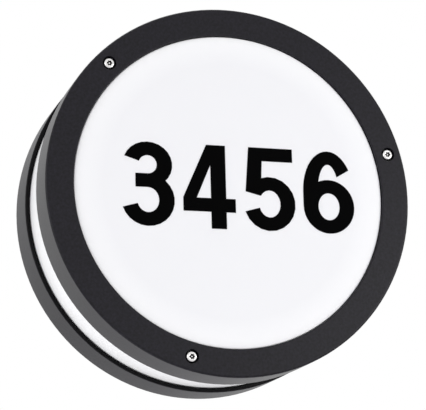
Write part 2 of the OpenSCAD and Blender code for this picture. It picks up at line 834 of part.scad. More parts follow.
// Earth tag: a ring under the screw and a barrel that grips the lead
tag_z = floor_top + earth_boss_h;
barrel_d = lead_d + 2 * tag_t;
barrel_end_y = tag_barrel_y + tag_barrel_l;

module along_barrel() {
  translate([0, 0, barrel_d / 2]) rotate([-90, 0, 0]) children();
}

module earth_tag() {
  color(steel) upright() translate([earth_x, earth_y, tag_z]) difference() {
    union() {
      disc(tag_d, 0, tag_t);
      translate([-barrel_d / 2, 0, 0]) cube([barrel_d, tag_barrel_y + lap, tag_t]);
      along_barrel() disc(barrel_d, tag_barrel_y, barrel_end_y);
    }
    disc(m4_d + 2 * hole_gap, -cut, tag_t + cut);
    along_barrel() disc(lead_d + 2 * fit, tag_barrel_y - cut, barrel_end_y + cut);
  }
}

module earth_screw() {
  color(zinc) upright() translate([earth_x, earth_y, tag_z + tag_t])
    slotted_screw(m4_d, earth_boss_h + tag_t, m4_head_d, m4_head_h);
}

// Routes of the three leads on the bench, from the block to the holder or to the tag. The ends follow the
// pieces that hold them.
lead_bite = 3;
lead_straight = 4;
lead_end_x = seat_x + lead_hole_l;
lead_end_z = axis_z - lead_hole_end - lead_bite;

function from_pole(x) = [for (y = [clamp_l / 2 - lead_bite, block_w / 2 + lead_straight])
  [x, block_y + y, pole_z]];
function to_holder(y) = [for (z = [lead_end_z - lead_straight, lead_end_z]) [lead_end_x, y, z]];
function to_barrel() = [for (y = [lead_straight, lap, lead_bite - tag_barrel_l])
  [earth_x, earth_y + barrel_end_y + y, tag_z + barrel_d / 2]];

live_route = concat(from_pole(poles[0]), [
  [-13, 46, 14.5], [-22, 50, 14.5], [-34, 48.5, 15], [-43.5, 43, 16.5], [-49, 37, 19.5], [-50.8, 32.5, 24.5],
  [-51.2, 29, 29], [-53, 22, 32], [-57, 11, 33.5], [-61.5, 0, 34.5], [-65, -5.5, 37]
], to_holder(-lead_hole_y));
neutral_route = concat(from_pole(poles[1]), [
  [-3, 50, 14.5], [-14, 56, 14.5], [-28, 56, 15], [-41, 52, 15.5], [-50, 45, 16.5], [-54.5, 37.5, 19.5],
  [-55.2, 32, 25], [-56.5, 26.5, 30], [-60, 18, 33.5], [-63.5, 11, 34.5], [-65.5, 7.8, 37]
], to_holder(lead_hole_y));
earth_route = concat(from_pole(poles[2]), [
  [12, 48, 14.5], [18, 54, 14], [26, 54, 13.5], [32, 49, 13]
], to_barrel());

module live_lead() {
  color("#7a4a26") upright() lead(live_route);
}

module neutral_lead() {
  color("#2d5fa8") upright() lead(neutral_route);
}

module earth_lead() {
  color("#6f9a2e") upright() lead(earth_route);
}

// Front ring: face plate, side wall and three pads with the screws' counterbores
ring_outline = concat(
  [[window_r, plate_z], [ring_in_r - ring_edge, plate_z]],
  [[ring_in_r, plate_z - ring_edge], [ring_in_r, ring_back_z]],
  arc(body_r - ring_edge, ring_back_z + ring_edge, ring_edge, -90, 0),
  arc(body_r - ring_round, front_z - ring_round, ring_round, 0, 90, 6),
  arc(window_r + ring_edge, front_z - ring_edge, ring_edge, 90, 180)
);

module front_ring() {
  color(coat) upright() difference() {
    union() {
      rotate_extrude($fn = big_fn) polygon(ring_outline);
      for (i = [0:2]) {
        at_clock(screw_angle(i), screw_r) disc(2 * pad_r, shoulder_z, plate_z + lap, 96);
      }
    }
    disc(2 * window_seal_r + 2 * window_gap, shoulder_z - cut, plate_z, big_fn);
    for (i = [0:2]) {
      at_clock(screw_angle(i), screw_r) {
        disc(screw_d + 2 * screw_hole_gap, shoulder_z - cut, front_z + cut);
        disc(counterbore_d, head_seat_z, front_z + cut, 96);
        translate([0, 0, front_z - counterbore_edge]) cylinder(
          d1 = counterbore_d, d2 = counterbore_d + 4 * counterbore_edge, h = 2 * counterbore_edge, $fn = 96
        );
      }
    }
  }
}

// Diffuser: one opal pot, with a raised window, a shoulder under the ring and a long side wall
diffuser_outline = concat(
  [[0, window_z - diffuser_t], [step_r - diffuser_t, window_z - diffuser_t]],
  [[step_r - diffuser_t, shoulder_in_z]],
  arc(pot_r - shoulder_round, shoulder_z - shoulder_round, shoulder_round - diffuser_t, 90, 0),
  [[pot_in_r, pot_end_z], [pot_r, pot_end_z]],
  arc(pot_r - shoulder_round, shoulder_z - shoulder_round, shoulder_round, 0, 90),
  [[step_r, shoulder_z]],
  arc(step_r - window_edge, window_z - window_edge, window_edge, 0, 90),
  [[0, window_z]]
);

module diffuser() {
  color(opal) upright() difference() {
    rotate_extrude($fn = big_fn) polygon(diffuser_outline);
    for (i = [0:2]) {
      at_clock(screw_angle(i), screw_r)
        disc(screw_d + 2 * shoulder_hole_gap, shoulder_in_z - cut, shoulder_z + cut);
    }
  }
}

module window_seal() {
  color(black) upright() tube(2 * window_seal_r, 2 * (window_r + window_gap), shoulder_z, plate_z, big_fn);
}

// Figures 3, 4, 5 and 6, cut from film. Their strokes are a little thinner where they run level, and an open
// belly ends at an angle of figure_open on its left.
figure_mid = figure_w / 2;
figure_thin = figure_s - 1.5;
figure_belly = 0.325 * figure_h;
figure_open = 162;

// Points of an arc of an oval about height y, with half axes a and b
function oval(y, a, b, from, to, n = 18) =
  [for (i = [0:n]) let (t = from + (to - from) * i / n) [figure_mid + a * cos(t), y + b * sin(t)]];

// A stroke between two ovals
module bent_stroke(y, a, b, from, to) {
  polygon(concat(oval(y, a, b, from, to), oval(y, a - figure_s, b - figure_thin, to, from)));
}

// Two bent strokes, open on the left, that meet in one level stroke
module three() {
  level_y = 0.54 * figure_h - figure_thin / 2;
  low_b = (level_y + figure_thin) / 2;
  high_b = (figure_h - level_y) / 2;
  level_l = 0.8 * figure_s;
  high_open = 160;
  bent_stroke(low_b, figure_mid, low_b, -figure_open, 90);
  bent_stroke(figure_h - high_b, figure_mid - figure_s / 8, high_b, -90, high_open);
  translate([figure_mid - level_l, level_y]) square([level_l, figure_thin]);
}

// A slanted stroke, a bar and a stem, with a triangle left open between them
module four() {
  stem_end_x = 0.82 * figure_w;
  stem_x = stem_end_x - figure_s;
  bar_y = 0.2 * figure_h;
  bar_top = bar_y + figure_thin;
  peak_x = stem_x - figure_s / 4;
  eye_top = figure_h - 1.3 * figure_s;
  difference() {
    polygon([
      [0, bar_y], [0, bar_top], [peak_x, figure_h], [stem_end_x, figure_h], [stem_end_x, bar_top],
      [figure_w, bar_top], [figure_w, bar_y], [stem_end_x, bar_y], [stem_end_x, 0], [stem_x, 0],
      [stem_x, bar_y]
    ]);
    polygon([[figure_thin, bar_top], [stem_x, bar_top], [stem_x, eye_top]]);
  }
}

// A bent stroke open on the left, a leaning upright that ends where the stroke starts, and a bar on top
module five() {
  edge_x = figure_s / 8;
  lean = figure_s / 4;
  start = 145;
  root = oval(figure_belly, figure_mid - figure_s, figure_belly - figure_thin, start, start)[0];
  bent_stroke(figure_belly, figure_mid, figure_belly, -figure_open, start);
  polygon([
    [edge_x, root[1] + lean], root, [edge_x + lean + figure_thin, figure_h - figure_thin],
    [edge_x + lean + figure_thin, figure_h], [edge_x + lean, figure_h]
  ]);
  translate([edge_x + lean, figure_h - figure_thin])
    square([figure_w - 2 * edge_x - lean, figure_thin]);
}

// A closed loop, and a tall bent stroke that runs down into its left side
module six() {
  start = 34;
  difference() {
    polygon(oval(figure_belly, figure_mid, figure_belly, 0, 360, 48));
    polygon(oval(figure_belly, figure_mid - figure_s, figure_belly - figure_thin, 0, 360, 36));
  }
  bent_stroke(figure_h / 2, figure_mid, figure_h / 2, start, 180);
  translate([0, figure_belly]) square([figure_s, figure_h / 2 - figure_belly]);
}

module house_number() {
  pitch = figure_w + figure_gap;
  row_w = 4 * figure_w + 3 * figure_gap;
  color(black) upright() translate([figure_x - row_w / 2, figure_y - figure_h / 2, window_z])
    linear_extrude(figure_t) {
      three();
      translate([pitch, 0]) four();
      translate([2 * pitch, 0]) five();
      translate([3 * pitch, 0]) six();
    }
}

// Cover screws, each with its O-ring
module screw_seal(i) {
  color(black) upright() at_clock(screw_angle(i), screw_r)
    rotate_extrude($fn = small_fn)
      translate([screw_d / 2 + 2 * fit + oring_t / 2, head_seat_z + oring_gap + oring_t / 2])
        circle(d = oring_t, $fn = 24);
}

// Six-lobed socket with a pin left standing in it
module pinned_socket() {
  lobe_r = socket_d / 7;
  lobe_at = socket_d / 2 - lobe_r;
  difference() {
    linear_extrude(socket_h + cut) {
      circle(r = lobe_at, $fn = small_fn);
      for (i = [0:5]) {
        rotate(60 * i) translate([lobe_at, 0]) circle(r = lobe_r, $fn = 24);
      }
    }
    disc(socket_pin_d, -cut, socket_h - socket_pin_drop);
  }
}

module cover_screw(i) {
  turns = floor((screw_l - screw_neck_l) / screw_pitch);
  shank_r = screw_d / 2 - fit;
  root = shank_r - screw_thread_h;
  flat_r = socket_d / 2 + socket_rim;
  color(steel) upright() at_clock(screw_angle(i), screw_r) translate([0, 0, head_z]) difference() {
    rotate_extrude($fn = small_fn) polygon(concat(
      [[0, head_h], [0, -screw_l], [root - chamfer, -screw_l]],
      thread(shank_r, screw_thread_h, screw_pitch, turns, chamfer - screw_l),
      [[root, -2 * chamfer], [shank_r, -chamfer], [shank_r, 0]],
      [[head_d / 2 - chamfer, 0], [head_d / 2, chamfer]],
      [for (a = [10:16:90]) [flat_r + (head_d / 2 - flat_r) * cos(a), head_h * sin(a)]]
    ));
    translate([0, 0, head_h - socket_h]) pinned_socket();
  }
}

module screw_seal_1() { screw_seal(0); }
module screw_seal_2() { screw_seal(1); }
module screw_seal_3() { screw_seal(2); }
module cover_screw_1() { cover_screw(0); }
module cover_screw_2() { cover_screw(1); }
module cover_screw_3() { cover_screw(2); }

// Lamp, from its tip in the holder to the top of its envelope
module lamp_tip() {
  edge = 0.5;
  color(zinc) upright() on_lamp_axis(tip_x) rotate_extrude($fn = small_fn) polygon(concat(
    arc(0, tip_r, tip_r, -90, -10), arc(tip_flange_d / 2 - edge, tip_l - edge, edge, 0, 90), [[0, tip_l]]
  ));
}

module lamp_insulator() {
  color(black) upright() on_lamp_axis(tip_x + tip_l) rotate_extrude($fn = small_fn) polygon([
    [0, 0], [insulator_d / 2, 0], [cap_foot_r, insulator_l], [0, insulator_l]
  ]);
}

// Threaded cap, its rings a cosine wave that follows the rounded thread
module lamp_cap() {
  steps = 8;
  turns = floor((cap_l - 2 * cap_round) / cap_pitch);
  color(steel) upright() on_lamp_axis(cap_x) rotate_extrude($fn = 96) polygon(concat(
    [[0, 0]],
    arc(cap_foot_r, cap_round, cap_round, -90, 0),
    [for (k = [1:turns * steps])
      [cap_root_r + cap_thread_h * (1 - cos(360 * k / steps)) / 2, cap_round + cap_pitch * k / steps]],
    [[cap_root_r, cap_l], [0, cap_l]]
  ));
}

// Collar that widens from the cap to the envelope
module lamp_collar() {
  end_r = cap_d / 2 + collar_wall;
  color(white) upright() on_lamp_axis(cap_end_x) rotate_extrude($fn = 96) polygon(concat(
    [[0, 0], [cap_d / 2, 0], [end_r, collar_wall], [end_r, collar_end_l]],
    [for (t = [0.25:0.25:1]) [
      end_r + (envelope_mouth_d / 2 - end_r) * (1 - cos(90 * t)) ^ 0.8,
      collar_end_l + (collar_l - collar_end_l) * sin(90 * t)
    ]],
    [[0, collar_l]]
  ));
}

module lamp_light_board() {
  color("#dfe4e6") upright() on_lamp_axis(collar_end_x) {
    disc(board_d, 0, board_t, 96);
    for (i = [0:7]) {
      rotate(45 * i) translate([board_d / 2 - chip_inset - chip_l / 2, -chip_w / 2, board_t - lap])
        cube([chip_l, chip_w, chip_h + lap]);
    }
  }
}

module lamp_envelope() {
  r = envelope_d / 2;
  mouth_a = acos(envelope_mouth_d / envelope_d);
  in_r = r - envelope_t;
  in_a = asin(r * sin(mouth_a) / in_r);
  color(opal) upright() on_lamp_axis(collar_end_x + r * sin(mouth_a)) rotate_extrude($fn = 96)
    polygon(concat(arc(0, 0, r, -mouth_a, 90, dome_n), arc(0, 0, in_r, 90, -in_a, dome_n)));
}

rear_housing();
wall_gasket();
cable_grommet();
blanking_plug();
cover_posts();
tray_standoffs();
diffuser_seal();
gear_tray();
tray_screws();
tray_bush();
lampholder_bracket();
bracket_rivets();
lampholder_body();
lampholder_screws();
lampholder_shell();
lampholder_contact();
terminal_block();
terminal_clamps();
terminal_screws();
block_screws();
earth_tag();
earth_screw();
live_lead();
neutral_lead();
earth_lead();
front_ring();
diffuser();
window_seal();
house_number();
screw_seal_1();
screw_seal_2();
screw_seal_3();
cover_screw_1();
cover_screw_2();
cover_screw_3();
lamp_tip();
lamp_insulator();
lamp_cap();
lamp_collar();
lamp_light_board();
lamp_envelope();
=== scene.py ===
"""Dresses the packed outdoor bulkhead light: finishes for its castings, its opal pot and its gear, and turned
or threaded pieces worked out with numpy. Everything is in metres: the window looks along -Y and up is +Z."""

import math

import bpy
import numpy as np
from bpy.props import FloatProperty, FloatVectorProperty, IntProperty, PointerProperty
from mathutils import Matrix, Vector


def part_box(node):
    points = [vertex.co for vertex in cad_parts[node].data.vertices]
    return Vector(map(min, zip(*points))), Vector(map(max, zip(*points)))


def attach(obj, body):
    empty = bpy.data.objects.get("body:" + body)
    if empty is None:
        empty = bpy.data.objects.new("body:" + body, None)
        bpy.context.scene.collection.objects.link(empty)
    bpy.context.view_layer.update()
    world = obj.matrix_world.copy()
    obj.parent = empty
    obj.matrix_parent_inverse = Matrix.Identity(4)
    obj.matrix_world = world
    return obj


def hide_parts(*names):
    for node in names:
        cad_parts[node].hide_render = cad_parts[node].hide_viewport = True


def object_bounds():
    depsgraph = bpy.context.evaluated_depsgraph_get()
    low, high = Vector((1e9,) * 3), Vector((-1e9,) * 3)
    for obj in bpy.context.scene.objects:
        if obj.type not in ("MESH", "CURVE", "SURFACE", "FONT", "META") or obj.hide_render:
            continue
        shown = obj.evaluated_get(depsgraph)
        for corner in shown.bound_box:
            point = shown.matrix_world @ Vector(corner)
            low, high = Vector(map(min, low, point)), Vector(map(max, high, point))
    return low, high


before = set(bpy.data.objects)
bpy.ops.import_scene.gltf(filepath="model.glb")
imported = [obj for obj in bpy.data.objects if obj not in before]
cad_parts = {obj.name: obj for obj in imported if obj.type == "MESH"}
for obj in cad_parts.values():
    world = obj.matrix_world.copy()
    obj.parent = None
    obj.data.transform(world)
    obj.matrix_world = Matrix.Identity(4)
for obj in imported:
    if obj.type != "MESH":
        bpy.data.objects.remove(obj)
cad_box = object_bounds()

bl_info = {
    "name": "Outdoor bulkhead light",
    "version": (1, 0, 0),
    "blender": (4, 5, 0),
    "location": "3D View > Sidebar > Wall light",
    "description": "Finishes and detailed pieces for a round wall light with a cast front ring",
    "category": "Object",
}

MM = 0.001
MICRON = MM / 1000
TURN = 2 * math.pi
SHARP = math.radians(32)
BODY_R = (cad_box[1].x - cad_box[0].x) / 2


# Sizes and colours


def length(name, description, default, low=0.0, high=10.0):
    """A size in metres for the sidebar."""
    return FloatProperty(name=name, description=description, default=default, min=low, max=high,
                         unit="LENGTH", precision=4)


def amount(name, description, default, low=0.0, high=100.0):
    """A plain number for the sidebar."""
    return FloatProperty(name=name, description=description, default=default, min=low, max=high)


def colour(name, description, default):
    """A linear colour for the sidebar."""
    return FloatVectorProperty(name=name, description=description, default=default, size=3, min=0.0,
                               max=1.0, subtype="COLOR")


class FinishSettings(bpy.types.PropertyGroup):
    """Colours, gloss and relief of the finishes."""

    coat: colour("Powder coat", "Colour of the powder coat on the castings", (0.0078, 0.0069, 0.0108))
    opal: colour("Opal", "Colour of the opal pot at the middle of its window", (0.876, 0.880, 0.896))
    # The rim colour holds painted light: the pot's rim and side are made lighter for light that comes through
    # them
    opal_rim_painted_light: colour("Opal rim", "Colour of the opal pot at its rim and side", (0.965, 0.97, 0.975))
    film: colour("Film", "Colour of the film of the figures", (0.0009, 0.0009, 0.0010))
    steel: colour("Stainless steel", "Colour of the cover screws", (0.80, 0.79, 0.78))
    zinc: colour("Zinc plate", "Colour of zinc-plated steel", (0.55, 0.56, 0.58))
    brass: colour("Brass", "Colour of the brass pieces", (0.72, 0.50, 0.20))
    enamel: colour("Enamel", "Colour of the gear tray", (0.84, 0.84, 0.82))
    glaze: colour("Glaze", "Colour of the lampholder's glaze", (0.80, 0.77, 0.70))
    rubber: colour("Rubber", "Colour of the seals", (0.018, 0.018, 0.019))
    peel: length("Orange peel", "Depth of the powder coat's orange peel", 50 * MICRON, 0.0, MM)
    ring_gloss: amount("Ring gloss", "Specular level of the front ring's coat", 0.21, 0.0, 1.0)
    housing_gloss: amount("Housing gloss", "Specular level of the rear housing's coat", 0.11, 0.0, 1.0)


class ScrewSettings(bpy.types.PropertyGroup):
    """Sizes of the cover screws. Their places and their length come from the packed screws."""

    head_d: length("Head diameter", "Diameter of the button head", 9.5 * MM)
    head_h: length("Head height", "Height of the button head", 2.75 * MM)
    shank_d: length("Thread diameter", "Outer diameter of the thread", 4.9 * MM)
    neck_l: length("Neck length", "Length under the head without thread", 4.0 * MM)
    pitch: length("Pitch", "Distance between two turns of the thread", 0.8 * MM)
    thread_h: length("Thread depth", "Depth of the thread", 0.4 * MM)
    socket_d: length("Socket diameter", "Outer diameter of the six-lobed socket", 4.6 * MM)
    socket_h: length("Socket depth", "Depth of the socket", 1.8 * MM)
    pin_d: length("Pin diameter", "Diameter of the pin in the socket", 1.6 * MM)
    pin_drop: length("Pin drop", "How far the pin ends below the socket's mouth", 0.2 * MM)


class LampSettings(bpy.types.PropertyGroup):
    """Sizes of the lamp and of the shell it screws into."""

    thread_h: length("Thread depth", "Depth of the rounded thread", 1.0 * MM)
    pitch: length("Pitch", "Distance between two turns of the rounded thread", 3.629 * MM)
    cap_round: length("Cap edge", "Radius of the cap's edge at the insulator", 1.6 * MM)
    fit: length("Fit", "Gap between the lamp's thread and the shell", 0.1 * MM)
    sheet: length("Sheet", "Thickness of the shell's rolled sheet", 0.5 * MM)
    wall: length("Envelope wall", "Wall thickness of the envelope", 1.5 * MM)


class LeadSettings(bpy.types.PropertyGroup):
    """Sizes of the insulated leads."""

    lead_d: length("Lead diameter", "Diameter of an insulated lead", 2.2 * MM)
    sides: IntProperty(name="Sides", description="Faces around a lead", default=20, min=6, max=64)
    steps: IntProperty(name="Steps", description="Rings between two points of a route", default=12, min=2,
                       max=64)


class StageSettings(bpy.types.PropertyGroup):
    """Camera, floor and studio light."""

    lens: amount("Focal length", "Focal length in millimetres on a 36 mm sensor", 160.5, 20, 600)
    roll: FloatProperty(name="Roll", description="Roll of the camera about its view", unit="ROTATION",
                        default=math.radians(-1.5))
    floor_z: length("Floor height", "Height of the floor", -0.55, -5.0, 5.0)
    room: amount("Room light", "Strength of the even light of the room", 0.65)
    key: amount("Key light", "Strength of the light at the front right", 11.0)
    side: amount("Side light", "Strength of the large light at the left", 12.0)
    top: amount("Top light", "Strength of the large light overhead", 19.0)
    low: amount("Low light", "Strength of the small light under the object", 0.16)


# Node maths


class Signal:
    """An output socket. Arithmetic on it adds Math nodes."""

    def __init__(self, recipe, socket):
        self.recipe = recipe
        self.socket = socket

    def maths(self, operation, first, second):
        """One Math node with two inputs."""
        return self.recipe.node("ShaderNodeMath", {"operation": operation}, {0: first, 1: second})

    def __add__(self, other):
        return self.maths("ADD", self, other)

    __radd__ = __add__

    def __sub__(self, other):
        return self.maths("SUBTRACT", self, other)

    def __rsub__(self, other):
        return self.maths("SUBTRACT", other, self)

    def __mul__(self, other):
        return self.maths("MULTIPLY", self, other)

    __rmul__ = __mul__

    def __truediv__(self, other):
        return self.maths("DIVIDE", self, other)

    def __pow__(self, other):
        return self.maths("POWER", self, other)

    def above(self, level):
        """1 where the value is above a level, else 0."""
        return self.maths("GREATER_THAN", self, level)

    def below(self, level):
        """1 where the value is below a level, else 0."""
        return self.maths("LESS_THAN", self, level)


class Recipe:
    """The node tree of one material or of the world, in the making."""

    def __init__(self, tree):
        self.tree = tree
        tree.nodes.clear()

    def node(self, kind, settings=None, inputs=None, output=0):
        """Adds a node, sets its settings, then the values or links of its sockets, and gives one output."""
        made = self.tree.nodes.new(kind)
        for key, value in (settings or {}).items():
            if key == "stops":
                self.set_stops(made.color_ramp, value)
            else:
                setattr(made, key, value)
        for key, value in (inputs or {}).items():
            if isinstance(value, Signal):
                self.tree.links.new(value.socket, made.inputs[key])
            else:
                made.inputs[key].default_value = value
        return Signal(self, made.outputs[output]) if len(made.outputs) else made

    @staticmethod
    def set_stops(ramp, stops):
        """Gives a ramp its stops, each a place and a grey level."""
        while len(ramp.elements) < len(stops):
            ramp.elements.new(1.0)
        for element, (place, level) in zip(ramp.elements, stops):
            element.position = place
            element.color = (level, level, level, 1.0)

    def place(self, scale=(1, 1, 1)):
        """Object coordinates, scaled by a Mapping node."""
        coords = self.node("ShaderNodeTexCoord", output="Object")
        return self.node("ShaderNodeMapping", {}, {"Vector": coords, "Scale": scale})

    def axis(self, vector, name):
        """One part, X, Y or Z, of a vector."""
        return self.node("ShaderNodeSeparateXYZ", {}, {0: vector}, output=name)

    def noise(self, vector, scale, detail=2.0, roughness=0.5):
        """Soft noise between 0 and 1 with a scale in waves per metre."""
        return self.node("ShaderNodeTexNoise", {}, {"Vector": vector, "Scale": scale, "Detail": detail,
                                                    "Roughness": roughness})

    def cells(self, vector, scale):
        """Distance to the nearest of scattered points."""
        return self.node("ShaderNodeTexVoronoi", {}, {"Vector": vector, "Scale": scale})

    def ramp(self, value, stops):
        """A grey ramp."""
        return self.node("ShaderNodeValToRGB", {"stops": stops}, {0: value})

    def blend(self, mask, first, second):
        """A colour between two colours."""
        first, second = (c if isinstance(c, Signal) else (*c, 1.0) for c in (first, second))
        return self.node("ShaderNodeMix", {"data_type": "RGBA"}, {0: mask, 6: first, 7: second}, output=2)

    def bump(self, height, depth, under=None):
        """A normal from a height between 0 and 1 that stands for a depth in metres."""
        inputs = {"Height": height, "Distance": depth, "Strength": 1.0}
        if under is not None:
            inputs["Normal"] = under
        return self.node("ShaderNodeBump", {}, inputs)


def shade(name, make, **constants):
    """A material: make(recipe) gives the sockets of its Principled shader, constants go straight in."""
    material = bpy.data.materials.new(name)
    material.use_nodes = True
    recipe = Recipe(material.node_tree)
    sockets = dict(constants)
    sockets.update(make(recipe))
    shader = recipe.node("ShaderNodeBsdfPrincipled", {}, sockets)
    recipe.node("ShaderNodeOutputMaterial", {}, {"Surface": shader})
    return material


def tinted(rgb, factor):
    """A colour made lighter or darker."""
    return tuple(min(1.0, c * factor) for c in rgb)


# Finishes


def powder_coat(name, rgb, gloss, peel_depth, rim_y, ledge_y, wall_r):
    """Satin powder coat: soft orange peel, a fine grain and a faint cloudiness.

    Shade is painted into the coat's colour in the slot between the pot and the housing: the coat is made
    almost black on the housing's rim, which lies at rim_y, and from there to its ledge at ledge_y wherever
    the distance from the axis is below wall_r."""
    reach, lip = 0.2 * MM, 0.4 * MM

    def make(recipe):
        at = recipe.place()
        x, y, z = (recipe.axis(at, name) for name in "XYZ")
        # Mask of the painted shade in the slot between the pot and the housing
        behind_rim = y.above(rim_y - reach)
        inside = ((x * x + z * z) ** 0.5).below(wall_r) * y.below(ledge_y + reach)
        slot = behind_rim * (y.below(rim_y + lip) + inside)
        peel = recipe.noise(at, 460, 2.0)
        grain = recipe.noise(at, 3600, 1.0)
        cloud = recipe.noise(at, 16, 3.0)
        speck = recipe.noise(at, 2100, 0.0).above(0.71)
        base = recipe.blend(cloud, tinted(rgb, 1.15), tinted(rgb, 1.40))
        toothed = recipe.blend(recipe.ramp(peel, [(0.3, 0.0), (0.7, 1.0)]), tinted(rgb, 0.45), base)
        coat = recipe.blend(speck * 0.35, toothed, tinted(rgb, 2.2))
        return {
            # Painted shade: the coat is made almost black in the slot
            "Base Color": recipe.blend(slot, coat, tinted(rgb, 0.15)),
            "Roughness": 0.31 + 0.06 * grain + 0.05 * cloud,
            "Normal": recipe.bump(grain, peel_depth * 0.25, recipe.bump(peel, peel_depth)),
        }
    return shade(name, make, **{"Specular IOR Level": gloss})


def opal_acrylic(rgb, rim):
    """Opal acrylic: satin, with very faint flow clouds and a fine texture.

    Light is painted into its colour towards the rim, for light that enters at the side and comes out again:
    the share grows with the distance from the axis, from 0.69 to 0.87 of the light's radius."""
    def make(recipe):
        at = recipe.place()
        x, z = recipe.axis(at, "X"), recipe.axis(at, "Z")
        painted_rim_light = recipe.ramp((x * x + z * z) ** 0.5 / BODY_R, [(0.69, 0.0), (0.87, 1.0)])
        flow = recipe.noise(at, 9, 2.0)
        grain = recipe.noise(at, 1500, 1.0)
        cloudy = recipe.blend(flow, tinted(rgb, 0.992), tinted(rgb, 1.008))
        return {
            # Painted light: lighter towards the rim and on the side
            "Base Color": recipe.blend(painted_rim_light, cloudy, rim),
            "Roughness": 0.30 + 0.06 * grain + 0.04 * flow,
            "Normal": recipe.bump(grain, 3 * MICRON),
        }
    return shade("Opal acrylic", make, **{"Specular IOR Level": 0.45})


def cut_film(rgb):
    """Black cut film: satin, with the faint tooth of cast vinyl."""
    def make(recipe):
        at = recipe.place()
        tooth = recipe.noise(at, 2600, 2.0)
        drift = recipe.noise(at, 30, 2.0)
        return {
            "Base Color": recipe.blend(drift, tinted(rgb, 0.8), tinted(rgb, 1.25)),
            "Roughness": 0.46 + 0.10 * tooth,
            "Normal": recipe.bump(tooth, 4 * MICRON),
        }
    return shade("Black film", make, **{"Specular IOR Level": 0.015})


def worked_metal(name, rgb, rough, spread, grain_scale=900, depth=3 * MICRON, stain=None):
    """Metal with a fine grain, duller and cleaner patches, and a stain where one is given."""
    def make(recipe):
        at = recipe.place()
        patch = recipe.noise(at, 160, 3.0)
        grain = recipe.noise(at, grain_scale, 3.0, 0.6)
        dull = stain or tinted(rgb, 0.82)
        return {
            "Base Color": recipe.blend(recipe.ramp(patch, [(0.35, 0.0), (0.75, 1.0)]), rgb, dull),
            "Roughness": rough + spread * patch + 0.05 * grain,
            "Normal": recipe.bump(grain, depth),
        }
    return shade(name, make, **{"Metallic": 1.0})


def turned_metal(name, rgb, rough, painted_socket_shade):
    """Turned metal on a piece with a UV map: fine rings along the profile and a faint burr.

    Where the piece's Socket attribute is 1, inside the socket, shade is painted into the colour, which is
    dark there, and the metal is duller."""
    def make(recipe):
        uv = recipe.node("ShaderNodeUVMap", {"uv_map": "Profile"})
        socket = recipe.node("ShaderNodeAttribute", {"attribute_name": "Socket"}, output="Fac")
        along = recipe.axis(uv, "Y")
        stretched = recipe.node("ShaderNodeMapping", {}, {"Vector": uv, "Scale": (6.0, 9000.0, 1.0)})
        rings = recipe.noise(stretched, 1.0, 2.0)
        patch = recipe.noise(recipe.place(), 420, 2.0)
        drift = recipe.noise(recipe.node("ShaderNodeCombineXYZ", {}, {"X": along * 300}), 1.0)
        bright = recipe.blend(patch, tinted(rgb, 0.92), tinted(rgb, 1.06))
        return {
            # Painted shade: the socket's inside is made dark
            "Base Color": recipe.blend(socket, bright, painted_socket_shade),
            "Roughness": rough + 0.10 * rings + 0.06 * drift + 0.3 * socket,
            "Normal": recipe.bump(rings, 4 * MICRON),
        }
    return shade(name, make, **{"Metallic": 1.0})


def moulded(name, rgb, rough, grain_scale=1400, depth=5 * MICRON, level=0.4, marks=0.09):
    """Moulded plastic or rubber: even colour with faint flow marks and the tooth of the mould."""
    def make(recipe):
        at = recipe.place()
        flow = recipe.noise(at, 45, 3.0)
        tooth = recipe.noise(at, grain_scale, 2.0)
        return {
            "Base Color": recipe.blend(flow, tinted(rgb, 1 - marks), tinted(rgb, 1 + marks)),
            "Roughness": rough + 0.10 * tooth,
            "Normal": recipe.bump(tooth, depth),
        }
    return shade(name, make, **{"Specular IOR Level": level})


def closed_foam(rgb):
    """Closed-cell foam: small cells that pit the skin."""
    def make(recipe):
        at = recipe.place()
        cells = recipe.cells(at, 1300)
        clumps = recipe.noise(at, 120, 3.0)
        return {
            "Base Color": recipe.blend(cells, tinted(rgb, 0.7), tinted(rgb, 1.5)),
            "Roughness": 0.82 + 0.12 * clumps,
            "Normal": recipe.bump(cells, 220 * MICRON),
        }
    return shade("Closed-cell foam", make, **{"Specular IOR Level": 0.3})


def glazed(name, rgb, speck_share=0.0):
    """Glazed ceramic or glass: glossy, gently uneven, with a few small specks where a share is given."""
    def make(recipe):
        at = recipe.place()
        sag = recipe.noise(at, 90, 2.0)
        speck = recipe.noise(at, 900, 0.0).above(0.74)
        glaze = recipe.blend(sag, tinted(rgb, 0.95), rgb)
        return {
            "Base Color": recipe.blend(speck * speck_share, glaze, tinted(rgb, 0.45)),
            "Roughness": 0.10 + 0.08 * sag,
            "Normal": recipe.bump(sag, 60 * MICRON),
        }
    return shade(name, make)


def light_board_mask(face_x):
    """White solder mask with yellow light chips: what stands above the board's face is chip."""
    def make(recipe):
        at = recipe.place()
        chip = recipe.axis(at, "X").above(face_x)
        mask = recipe.noise(at, 500, 2.0)
        copper = recipe.cells(at, 260).below(0.23)
        board = recipe.blend(mask, (0.80, 0.81, 0.80), (0.86, 0.87, 0.86))
        board = recipe.blend(copper * 0.5, board, (0.52, 0.56, 0.55))
        return {
            "Base Color": recipe.blend(chip, board, (0.82, 0.62, 0.10)),
            "Roughness": 0.38 + 0.2 * mask,
            "Normal": recipe.bump(mask, 10 * MICRON),
        }
    return shade("Light board", make)


def striped_insulation(name, rgb, stripe=None):
    """Satin lead insulation: drawn lines along the lead, and two stripes where a second colour is given."""
    def make(recipe):
        uv = recipe.node("ShaderNodeUVMap", {"uv_map": "Profile"})
        around = recipe.axis(uv, "X")
        drawn = recipe.noise(recipe.node("ShaderNodeMapping", {}, {"Vector": uv, "Scale": (60, 180, 1)}),
                             1.0, 3.0)
        base = recipe.blend(drawn, tinted(rgb, 0.86), tinted(rgb, 1.12))
        if stripe:
            wave = recipe.node("ShaderNodeMath", {"operation": "SINE"}, {0: around * (2 * TURN)})
            base = recipe.blend(wave.above(0.15), base, stripe)
        return {
            "Base Color": base,
            "Roughness": 0.34 + 0.12 * drawn,
            "Normal": recipe.bump(drawn, 10 * MICRON),
        }
    return shade(name, make)


